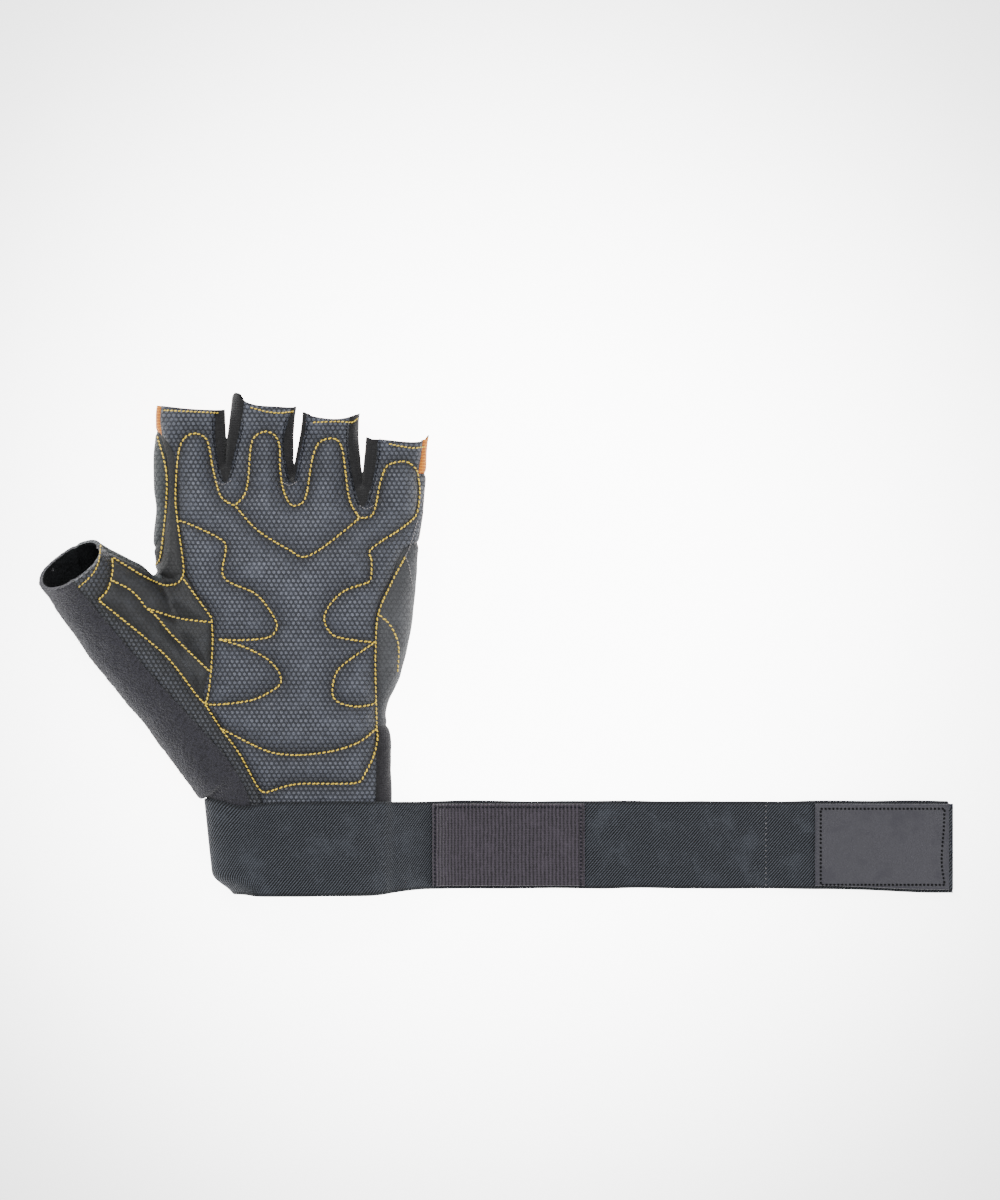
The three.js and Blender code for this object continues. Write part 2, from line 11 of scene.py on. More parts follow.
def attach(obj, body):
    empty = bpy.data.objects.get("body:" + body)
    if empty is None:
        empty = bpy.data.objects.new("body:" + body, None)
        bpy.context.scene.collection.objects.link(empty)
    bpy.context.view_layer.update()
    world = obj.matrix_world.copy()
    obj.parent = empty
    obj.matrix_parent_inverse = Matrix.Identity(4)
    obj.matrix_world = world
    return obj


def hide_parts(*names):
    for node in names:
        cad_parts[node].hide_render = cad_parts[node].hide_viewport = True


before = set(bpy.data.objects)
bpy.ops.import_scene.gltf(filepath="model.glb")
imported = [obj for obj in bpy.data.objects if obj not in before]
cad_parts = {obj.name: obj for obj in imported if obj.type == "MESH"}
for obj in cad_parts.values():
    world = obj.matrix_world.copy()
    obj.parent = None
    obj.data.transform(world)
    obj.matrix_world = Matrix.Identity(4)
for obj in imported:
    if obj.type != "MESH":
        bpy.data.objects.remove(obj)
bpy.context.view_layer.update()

numbers = np.random.default_rng(7)


# Helpers for meshes

def addObject(name, vertices, faces, smooth=True):
    mesh = bpy.data.meshes.new(name)
    mesh.from_pydata([tuple(v) for v in vertices], [], [tuple(f) for f in faces])
    mesh.update()
    if smooth:
        mesh.shade_smooth()
    piece = bpy.data.objects.new(name, mesh)
    bpy.context.scene.collection.objects.link(piece)
    return piece


def applyModifiers(piece):
    depsgraph = bpy.context.evaluated_depsgraph_get()
    mesh = bpy.data.meshes.new_from_object(piece.evaluated_get(depsgraph))
    piece.modifiers.clear()
    old = piece.data
    piece.data = mesh
    bpy.data.meshes.remove(old)
    return piece


def removeObject(piece):
    mesh = piece.data
    bpy.data.objects.remove(piece)
    if mesh.users == 0:
        bpy.data.meshes.remove(mesh)


def copyObject(piece, name):
    made = bpy.data.objects.new(name, piece.data.copy())
    bpy.context.scene.collection.objects.link(made)
    return made


def combine(target, cutter, operation):
    modifier = target.modifiers.new("cut", "BOOLEAN")
    modifier.operation = operation
    modifier.solver = "MANIFOLD"
    modifier.object = cutter
    return applyModifiers(target)


def joinMeshes(name, parts):
    vertices, faces, offset = [], [], 0
    for part in parts:
        vertices.extend(v.co.copy() for v in part.data.vertices)
        faces.extend(tuple(i + offset for i in p.vertices) for p in part.data.polygons)
        offset += len(part.data.vertices)
    return addObject(name, vertices, faces)


def readPoints(mesh):
    values = np.empty(len(mesh.vertices) * 3, dtype=np.float64)
    mesh.vertices.foreach_get("co", values)
    return values.reshape(-1, 3)


def writePoints(mesh, points):
    mesh.vertices.foreach_set("co", points.astype(np.float32).ravel())
    mesh.update()


def readNormals(mesh):
    values = np.empty(len(mesh.vertices) * 3, dtype=np.float32)
    mesh.vertex_normals.foreach_get("vector", values)
    return values.reshape(-1, 3).astype(np.float64)


def faceOutwards(piece):
    editable = bmesh.new()
    editable.from_mesh(piece.data)
    bmesh.ops.recalc_face_normals(editable, faces=editable.faces)
    editable.to_mesh(piece.data)
    editable.free()


def pointTree(points):
    tree = KDTree(len(points))
    for i, point in enumerate(points):
        tree.insert(point, i)
    tree.balance()
    return tree


def smoothStep(low, high, value):
    share = np.clip((value - low) / (high - low), 0, 1)
    return share * share * (3 - 2 * share)


def ease(low, high, value):
    return float(smoothStep(low, high, value))


def runAlong(points):
    # how far along a line each of its points lies
    return np.concatenate([[0], np.cumsum(np.linalg.norm(np.diff(points, axis=0), axis=1))])


def curveThrough(points, spacing):
    # a centripetal curve through the points, sampled at an even spacing
    points = np.array(points, dtype=float)
    points = np.vstack([2 * points[0] - points[1], points, 2 * points[-1] - points[-2]])
    samples = []
    for i in range(1, len(points) - 2):
        p0, p1, p2, p3 = points[i - 1:i + 3]
        t0 = 0.0
        t1 = t0 + max(np.linalg.norm(p1 - p0), 1e-9) ** 0.5
        t2 = t1 + max(np.linalg.norm(p2 - p1), 1e-9) ** 0.5
        t3 = t2 + max(np.linalg.norm(p3 - p2), 1e-9) ** 0.5
        for t in np.linspace(t1, t2, 24, endpoint=False):
            a1 = (t1 - t) / (t1 - t0) * p0 + (t - t0) / (t1 - t0) * p1
            a2 = (t2 - t) / (t2 - t1) * p1 + (t - t1) / (t2 - t1) * p2
            a3 = (t3 - t) / (t3 - t2) * p2 + (t - t2) / (t3 - t2) * p3
            b1 = (t2 - t) / (t2 - t0) * a1 + (t - t0) / (t2 - t0) * a2
            b2 = (t3 - t) / (t3 - t1) * a2 + (t - t1) / (t3 - t1) * a3
            samples.append((t2 - t) / (t2 - t1) * b1 + (t - t1) / (t2 - t1) * b2)
    samples.append(points[-2])
    samples = np.array(samples)
    run = runAlong(samples)
    count = max(2, int(round(run[-1] / spacing)) + 1)
    places = np.linspace(0, run[-1], count)
    return np.stack([np.interp(places, run, samples[:, c]) for c in range(samples.shape[1])], axis=1)


# The camera looks straight down on the glove, as the photograph does

camera = {
    "lens": 400.0,
    "sensor": 36.0,
    "reach": 0.492,
    "middle": (0.0832, 0.1013),
}
cameraData = bpy.data.cameras.new("camera")
cameraData.lens = camera["lens"]
cameraData.sensor_width = camera["sensor"]
cameraData.clip_end = 20.0
cameraObject = bpy.data.objects.new("camera", cameraData)
cameraDistance = camera["reach"] * camera["lens"] / camera["sensor"]
cameraObject.location = (camera["middle"][0], camera["middle"][1], cameraDistance)
bpy.context.scene.collection.objects.link(cameraObject)
bpy.context.scene.camera = cameraObject
print("camera placed")


# The glove's form, by the same tables as the solids. Places across are shares of the knuckles' width,
# places along are shares of the glove's length, and top is a share of the palm's thickness.

glove = {
    "knuckleWidth": 0.109,
    "length": 0.165,
    "palmThickness": 0.033,
    "fingerThickness": 0.022,
    "thumbThickness": 0.025,
    "wall": 0.0018,
    "widestHeight": 0.36,
    "belowWidest": 1.12,
    "palmSquareness": 2.7,
    "fingerSquareness": 2.4,
    "thumbSquareness": 2.3,
    "rimY": 0.021,
    "sideSeam": 0.009,
    "stripSeam": 0.004,
    "fourchetteLow": 0.005,
    "wristLift": 0.0021,
    "voxel": 0.0009,
    "smoothing": 14,
    "quiltDepth": 0.0015,
    "quiltReach": 0.0046,
    "quiltBase": 0.0006,
    "stitchSink": 0.00045,
    "stitchReach": 0.0009,
    "seamSink": 0.0007,
    "seamReach": 0.0011,
}
width = glove["knuckleWidth"]
reach = glove["length"]

# along, left, right, top, hollow, slant
bodyRows = [
    (-0.09, -0.326, 0.352, 0.70, 0.00, 0.00),
    (-0.04, -0.326, 0.352, 0.70, 0.00, 0.00),
    (-0.01, -0.326, 0.352, 0.70, 0.00, 0.00),
    (0.03, -0.350, 0.352, 0.74, 0.01, 0.00),
    (0.09, -0.385, 0.348, 0.80, 0.04, 0.00),
    (0.15, -0.412, 0.345, 0.87, 0.07, 0.00),
    (0.20, -0.440, 0.330, 0.92, 0.09, 0.00),
    (0.30, -0.486, 0.381, 0.99, 0.12, 0.00),
    (0.40, -0.515, 0.422, 1.00, 0.11, 0.00),
    (0.50, -0.530, 0.441, 0.98, 0.09, 0.00),
    (0.60, -0.532, 0.448, 0.93, 0.05, 0.01),
    (0.70, -0.521, 0.460, 0.84, 0.02, 0.03),
    (0.77, -0.520, 0.464, 0.74, 0.00, 0.05),
    (0.80, -0.505, 0.450, 0.62, 0.00, 0.05),
]
# along, centre, half width
fingerRows = {
    "index": [(0.64, -0.394, 0.110), (0.81, -0.402, 0.134), (0.89, -0.401, 0.130), (1.05, -0.393, 0.110)],
    "middle": [(0.64, -0.150, 0.105), (0.81, -0.141, 0.123), (0.89, -0.135, 0.118), (1.06, -0.106, 0.120)],
    "ring": [(0.62, 0.111, 0.105), (0.80, 0.116, 0.123), (0.89, 0.122, 0.105), (1.04, 0.147, 0.108)],
    "little": [(0.58, 0.350, 0.092), (0.74, 0.361, 0.116), (0.84, 0.373, 0.112), (0.98, 0.392, 0.113)],
}
# outer and inner are the thumb's edges as (across, along), then its height, half thickness and lean
thumbRows = [
    ((-0.947, 0.524), (-0.731, 0.621), 0.98, 0.48, 30),
    ((-0.902, 0.480), (-0.690, 0.606), 0.85, 0.50, 27),
    ((-0.850, 0.426), (-0.628, 0.584), 0.73, 0.52, 21),
    ((-0.790, 0.369), (-0.548, 0.552), 0.63, 0.53, 14),
    ((-0.715, 0.302), (-0.450, 0.470), 0.55, 0.53, 8),
    ((-0.573, 0.188), (-0.320, 0.335), 0.47, 0.50, 3),
    ((-0.442, 0.070), (-0.219, 0.191), 0.40, 0.46, 0),
    ((-0.358, -0.005), (-0.150, 0.102), 0.39, 0.42, 0),
]


def plan(across, along):
    return np.array([across * width, glove["rimY"] + along * reach])


def rowsBetween(rows, count):
    # one smooth curve through each column of a table, against its first column
    table = np.array(rows, dtype=float)
    places = table[:, 0]
    gaps = np.diff(places)
    slopes = np.diff(table, axis=0) / gaps[:, None]
    tangents = np.vstack([slopes[0], (slopes[:-1] * gaps[1:, None] + slopes[1:] * gaps[:-1, None])
                          / (gaps[:-1] + gaps[1:])[:, None], slopes[-1]])
    made = []
    for place in np.linspace(places[0], places[-1], count):
        i = min(int(np.searchsorted(places, place, side="right")) - 1, len(gaps) - 1)
        t = (place - places[i]) / gaps[i]
        made.append((2 * t ** 3 - 3 * t ** 2 + 1) * table[i] + (t ** 3 - 2 * t ** 2 + t) * gaps[i] * tangents[i]
                    + (-2 * t ** 3 + 3 * t ** 2) * table[i + 1] + (t ** 3 - t ** 2) * gaps[i] * tangents[i + 1])
    return np.array(made)


def section(centre, across, up, halfWidth, above, below, floor, sides, squareness, hollow=0.0):
    angles = np.arange(sides) / sides * 2 * np.pi
    power = 2 / squareness
    side = np.sign(np.cos(angles)) * np.abs(np.cos(angles)) ** power
    rise = np.sign(np.sin(angles)) * np.abs(np.sin(angles)) ** power
    height = np.where(rise > 0, rise * (above - hollow * (1 - side * side) ** 2), rise * below)
    points = np.array(centre) + side[:, None] * halfWidth * np.array(across) + height[:, None] * np.array(up)
    soft = 0.0006
    low = points[:, 2] - floor
    points[:, 2] = floor + 0.5 * (low + np.sqrt(low * low + soft * soft)) - 0.5 * soft
    return points


def loftMesh(name, rings):
    sides = len(rings[0])
    vertices = np.vstack(rings)
    faces = []
    for r in range(len(rings) - 1):
        for i in range(sides):
            j = (i + 1) % sides
            faces.append((r * sides + i, (r + 1) * sides + i, (r + 1) * sides + j, r * sides + j))
    last = (len(rings) - 1) * sides
    faces.append(tuple(range(sides)))
    faces.append(tuple(last + i for i in reversed(range(sides))))
    return addObject(name, vertices, faces)


def floorAt(along):
    return glove["wristLift"] * ease(0.0, 0.11, 0.13 - along)


widest = glove["widestHeight"] * glove["palmThickness"]


def bodyRings():
    rings = []
    for along, left, right, top, hollow, slant in rowsBetween(bodyRows, 110):
        halfWidth = (right - left) / 2 * width
        floor = floorAt(along)
        centre = plan((left + right) / 2, along)
        slant = max(slant, 0.0)
        slope = slant * reach / halfWidth
        above, below = top * glove["palmThickness"] - widest, widest * glove["belowWidest"] - floor
        rings.append(section((centre[0], centre[1], widest), (1, -slope, 0), (0, -6 * slant, 1), halfWidth,
                             above, below, floor, 180, glove["palmSquareness"],
                             hollow * glove["palmThickness"]))
    return rings


def fingerRings(rows):
    half = glove["fingerThickness"] / 2
    rings = []
    for along, centre, halfWidth in rowsBetween(rows, 46):
        place = plan(centre, along)
        rings.append(section((place[0], place[1], half), (1, 0, 0), (0, 0, 1), halfWidth * width,
                             half, half, 0.0, 84, glove["fingerSquareness"]))
    return rings


def thumbFrames(count):
    table = [(i, *outer, *inner, *rest) for i, (outer, inner, *rest) in enumerate(thumbRows)]
    frames = []
    for row in rowsBetween(table, count):
        outer, inner = plan(row[1], row[2]), plan(row[3], row[4])
        across = np.append(inner - outer, 0.0)
        halfWidth = np.linalg.norm(across) / 2
        across /= 2 * halfWidth
        lean = math.radians(row[7])
        ahead = np.array([-across[1] * math.cos(lean), across[0] * math.cos(lean), math.sin(lean)])
        centre = np.append((outer + inner) / 2, row[5] * glove["palmThickness"])
        frames.append((centre, across, ahead, halfWidth, row[6] * glove["thumbThickness"], floorAt(row[2])))
    return frames


def thumbRings():
    # a few rings lie past the rim, so that the rim is cut from a closed form
    frames = thumbFrames(90)
    centre, across, ahead, *sizes = frames[0]
    beyond = [(centre + ahead * step, across, ahead, *sizes) for step in (0.010, 0.007, 0.004, 0.002)]
    return [section(c, a, np.cross(a, f), w, h, h, low, 96, glove["thumbSquareness"])
            for c, a, f, w, h, low in beyond + frames]


parts = [loftMesh("body", bodyRings()[::-1])]
parts += [loftMesh(name, fingerRings(rows)[::-1]) for name, rows in fingerRows.items()]
parts.append(loftMesh("thumb", thumbRings()))
form = joinMeshes("form", parts)
for part in parts:
    removeObject(part)
remesh = form.modifiers.new("remesh", "REMESH")
remesh.mode = "VOXEL"
remesh.voxel_size = glove["voxel"]
smoothing = form.modifiers.new("smooth", "SMOOTH")
smoothing.factor = 0.5
smoothing.iterations = glove["smoothing"]
applyModifiers(form)
print("form made", len(form.data.polygons))


# Seams, as (across, along)
seams = {
    "guardPalm": [(-0.62, 0.935), (-0.530, 0.905), (-0.502, 0.850), (-0.494, 0.780), (-0.500, 0.700),
                  (-0.520, 0.630), (-0.556, 0.600), (-0.600, 0.640)],
    "thumbPalm": [(-0.585, 0.605), (-0.545, 0.565), (-0.480, 0.541), (-0.427, 0.551), (-0.373, 0.497),
                  (-0.323, 0.452), (-0.323, 0.324), (-0.350, 0.240), (-0.288, 0.176), (-0.208, 0.094),
                  (-0.135, 0.000), (-0.115, -0.080)],
    "gusset": [(-0.427, 0.551), (-0.444, 0.675), (-0.452, 0.735), (-0.454, 0.800), (-0.472, 0.864),
               (-0.530, 0.905)],
    "terryPalm": [(-0.905, 0.600), (-0.835, 0.533), (-0.758, 0.472), (-0.642, 0.380), (-0.527, 0.291),
                  (-0.373, 0.179), (-0.238, 0.074), (-0.181, 0.000), (-0.165, -0.080)],
    "stripPalm": [(0.520, 0.640), (0.412, 0.615), (0.362, 0.538), (0.312, 0.464), (0.308, 0.324),
                  (0.312, 0.184), (0.308, 0.176)],
    "tab": [(0.308, 0.176), (0.305, 0.094), (0.300, 0.000), (0.298, -0.080)],
    "terryBack": [(-0.538, 0.436), (-0.527, 0.329), (-0.504, 0.230), (-0.481, 0.128), (-0.435, 0.064),
                  (-0.373, 0.013), (-0.350, -0.080)],
    "guardBack": [(-0.62, 0.935), (-0.496, 0.906), (-0.435, 0.875), (-0.404, 0.786), (-0.396, 0.635),
                  (-0.412, 0.533), (-0.454, 0.482), (-0.538, 0.436)],
    "guardThumb": [(-0.538, 0.436), (-0.630, 0.440), (-0.720, 0.470), (-0.780, 0.515), (-0.815, 0.570),
                   (-0.830, 0.660)],
    "bandTop": [(0.60, 0.610), (0.454, 0.617), (0.069, 0.645), (-0.396, 0.640), (-0.45, 0.640)],
    "bandLow": [(0.60, 0.410), (0.423, 0.421), (-0.015, 0.452), (-0.412, 0.503), (-0.45, 0.510)],
    "indexMiddle": [(-0.300, 1.10), (-0.304, 0.960), (-0.300, 0.880), (-0.266, 0.780), (-0.222, 0.880),
                    (-0.200, 0.960), (-0.182, 1.10)],
    "middleRing": [(-0.005, 1.10), (-0.022, 0.960), (-0.042, 0.880), (-0.016, 0.778), (0.022, 0.880),
                   (0.040, 0.960), (0.050, 1.10)],
    "ringLittle": [(0.232, 1.10), (0.205, 0.960), (0.200, 0.860), (0.248, 0.718), (0.298, 0.830),
                   (0.305, 0.900), (0.315, 1.10)],
    "rims": [(-0.75, 0.968), (-0.519, 0.968), (-0.400, 0.960), (-0.282, 0.958), (-0.262, 0.962),
             (-0.240, 0.985), (-0.222, 1.001), (-0.200, 0.983), (-0.160, 0.971), (-0.080, 0.966),
             (-0.006, 0.966), (0.004, 0.972), (0.012, 0.966), (0.020, 0.957), (0.060, 0.943),
             (0.150, 0.935), (0.215, 0.944), (0.248, 0.952), (0.262, 0.930), (0.268, 0.890),
             (0.330, 0.884), (0.440, 0.878), (0.475, 0.883), (0.500, 0.900), (0.70, 0.905)],
    "indexTip": [(-0.513, 0.895), (-0.486, 1.100)],
    "littleTip": [(0.466, 0.800), (0.496, 1.100)],
}
seamLines = {name: curveThrough([plan(*point) for point in points], 0.0012) for name, points in seams.items()}


def corners(*points):
    return np.array([plan(*point) for point in points])


def prism(name, outlines, low=-0.2, high=0.2):
    # the plan outline made of some lines, from one height to another
    outline = np.vstack(outlines)
    kept = [outline[0]]
    for point in outline[1:]:
        if np.linalg.norm(point - kept[-1]) > 1e-5:
            kept.append(point)
    if np.linalg.norm(kept[0] - kept[-1]) < 1e-5:
        kept.pop()
    outline = np.array(kept)
    x, y = outline[:, 0], outline[:, 1]
    if np.sum(x * np.roll(y, -1) - np.roll(x, -1) * y) < 0:
        outline = outline[::-1]
    count = len(outline)
    vertices = [(*p, low) for p in outline] + [(*p, high) for p in outline]
    faces = [tuple(reversed(range(count))), tuple(range(count, 2 * count))]
    faces += [(i, (i + 1) % count, count + (i + 1) % count, count + i) for i in range(count)]
    made = addObject(name, vertices, faces, smooth=False)
    editable = bmesh.new()
    editable.from_mesh(made.data)
    bmesh.ops.triangulate(editable, faces=[f for f in editable.faces if len(f.verts) > 4])
    editable.to_mesh(made.data)
    editable.free()
    return made


def overThumb(name):
    # everything above the thumb's middle, which rises along the thumb as its axis does
    middles = [(plan(*row[0]) + plan(*row[1])) / 2 for row in thumbRows]
    root = middles[-1]
    ahead = (middles[0] - root) / np.linalg.norm(middles[0] - root)
    profile = rowsBetween([(float(np.dot(m - root, ahead)), row[2] * glove["palmThickness"])
                           for m, row in list(zip(middles, thumbRows))[::-1]], 40)
    outline = [(-0.4, profile[0][1])] + [tuple(p) for p in profile] + [(0.4, profile[-1][1])]
    side = np.array([ahead[1], -ahead[0]])
    count = len(outline)
    vertices = []
    for offset in (-0.4, 0.4):
        for level in (None, 0.4):
            for run, height in outline:
                place = root + ahead * run + side * offset
                vertices.append((place[0], place[1], height if level is None else level))
    low, high, farLow, farHigh = 0, count, 2 * count, 3 * count
    faces = []
    for i in range(count - 1):
        faces.append((low + i, low + i + 1, farLow + i + 1, farLow + i))
        faces.append((high + i, farHigh + i, farHigh + i + 1, high + i + 1))
        faces.append((low + i, high + i, high + i + 1, low + i + 1))
        faces.append((farLow + i, farLow + i + 1, farHigh + i + 1, farHigh + i))
    faces.append((low, farLow, farHigh, high))
    faces.append((low + count - 1, high + count - 1, farHigh + count - 1, farLow + count - 1))
    made = addObject(name, vertices, faces, smooth=False)
    faceOutwards(made)
    return made


def without(target, *cutters):
    for cutter in cutters:
        combine(target, cutter, "DIFFERENCE")
    return target


def within(target, *cutters):
    for cutter in cutters:
        combine(target, cutter, "INTERSECT")
    return target


def together(target, *others):
    for other in others:
        combine(target, other, "UNION")
        removeObject(other)
    return target


def dropSplinters(piece, share=0.05):
    # takes away loose bits that the cuts leave beside a panel
    editable = bmesh.new()
    editable.from_mesh(piece.data)
    editable.verts.ensure_lookup_table()
    seen, islands = set(), []
    for vertex in editable.verts:
        if vertex.index in seen:
            continue
        island, queue = [], [vertex]
        seen.add(vertex.index)
        while queue:
            current = queue.pop()
            island.append(current)
            for link in current.link_edges:
                other = link.other_vert(current)
                if other.index not in seen:
                    seen.add(other.index)
                    queue.append(other)
        islands.append(island)
    most = max(len(island) for island in islands)
    loose = [vertex for island in islands if len(island) < most * share for vertex in island]
    bmesh.ops.delete(editable, geom=loose, context="VERTS")
    editable.to_mesh(piece.data)
    editable.free()
    return len(islands), len(loose)


# The shell: the form, and the same form moved in by the wall
formPoints = readPoints(form.data)
formNormals = readNormals(form.data)
formTree = pointTree(formPoints)

inner = copyObject(form, "inner")
writePoints(inner.data, formPoints - formNormals * glove["wall"])
inner.data.flip_normals()
shell = joinMeshes("shell", [form, inner])
removeObject(inner)

edge = glove["sideSeam"]
outside = corners((-0.75, 1.4))
beyondRims = prism("beyondRims", [seamLines["rims"], corners((0.70, 1.4)), outside])
belowWrist = prism("belowWrist", [corners((-1, -0.04), (-1, -0.4), (1, -0.4), (1, -0.04))])
rimCentre, rimAcross, rimAhead = thumbFrames(2)[0][:3]
rimUp = np.cross(rimAcross, rimAhead)
blockSize = 0.03
block = []
for run in (0.0, blockSize):
    for across, rise in ((-1, -1), (1, -1), (1, 1), (-1, 1)):
        block.append(rimCentre + rimAhead * run + rimAcross * across * blockSize + rimUp * rise * blockSize)
beyondThumb = addObject("beyondThumb", block, [(0, 1, 2, 3), (7, 6, 5, 4), (0, 4, 5, 1), (1, 5, 6, 2),
                                               (2, 6, 7, 3), (3, 7, 4, 0)], smooth=False)
faceOutwards(beyondThumb)
without(shell, beyondRims, belowWrist, beyondThumb)
print("shell opened", len(shell.data.polygons))

aboveThumb = overThumb("aboveThumb")
thumbOut = corners((-1.4, -0.08), (-1.4, 1.2))
wide = corners((-1.5, -0.3), (0.9, -0.3), (0.9, 1.4), (-1.5, 1.4))
thumbReach = prism("thumbReach", [corners((-1.1, 0.40), (-0.44, 0.40), (-0.44, 0.55)),
                                  seamLines["thumbPalm"][:18][::-1], corners((-0.70, 0.80), (-1.1, 0.95))])
tipEdges = together(
    prism("t1", [corners((-0.7, 0.895)), seamLines["indexTip"], corners((-0.7, 1.1))]),
    prism("t2", [corners((0.7, 0.8)), seamLines["littleTip"], corners((0.7, 1.1))]))
zones = {
    "fourchette_index_middle": prism("z1", [seamLines["indexMiddle"]], glove["fourchetteLow"]),
    "fourchette_middle_ring": prism("z2", [seamLines["middleRing"]], glove["fourchetteLow"]),
    "fourchette_ring_little": prism("z3", [seamLines["ringLittle"]], glove["fourchetteLow"]),
    "index_guard": together(
        prism("z4", [seamLines["guardPalm"], corners((-0.70, 0.80), (-0.75, 1.10))], edge),
        prism("z5", [seamLines["guardBack"], seamLines["guardThumb"], corners((-0.83, 1.0), (-0.83, 1.1))],
              -0.2, edge + 0.0002),
        without(within(prism("z6", [seamLines["guardBack"], seamLines["guardThumb"],
                                    corners((-0.83, 1.0), (-0.83, 1.1))]), thumbReach), aboveThumb)),
    "crotch_gusset": prism("z7", [seamLines["gusset"], seamLines["guardPalm"][20:],
                                  seamLines["thumbPalm"][:18]], edge),
    "side_strip_little": prism("z8", [seamLines["stripPalm"], corners((0.70, 0.176), (0.70, 0.64))],
                               glove["stripSeam"]),
    "wrist_tab": prism("z9", [seamLines["tab"], corners((0.70, -0.08), (0.70, 0.176))], glove["stripSeam"]),
    "thumb_palm_panel": within(prism("z10", [seamLines["terryPalm"], seamLines["thumbPalm"][::-1],
                                             corners((-0.70, 0.80), (-0.95, 0.80))], edge), aboveThumb),
    "thumb_terry_panel": together(
        prism("z11", [seamLines["terryPalm"], thumbOut], edge),
        without(prism("z12", [seamLines["terryBack"], thumbOut, corners((-0.83, 1.0)),
                              seamLines["guardThumb"][::-1]]), aboveThumb)),
    "palm_panel": without(prism("z13", [wide], edge), tipEdges),
    "back_band": prism("z14", [seamLines["bandTop"], seamLines["bandLow"][::-1]]),
    "back_upper_panel": together(
        prism("z15", [seamLines["bandTop"], corners((-0.75, 0.64), (-0.75, 1.2), (0.60, 1.2))]), tipEdges),
    "wrist_binding": prism("z16", [corners((-1, -0.1), (1, -0.1), (1, 0.036), (-1, 0.036))]),
}

panels = {}
for name, zone in zones.items():
    panels[name] = within(copyObject(shell, name + "_skin"), zone)
    without(shell, zone)
    removeObject(zone)
    print(name, len(panels[name].data.polygons))
panels["back_lower_panel"] = shell
for name, panel in panels.items():
    print(name, "islands and loose points", dropSplinters(panel))
shell.name = "back_lower_panel_skin"
for cutter in (beyondRims, belowWrist, beyondThumb, aboveThumb, thumbReach):
    removeObject(cutter)
print("panels cut", len(shell.data.polygons))


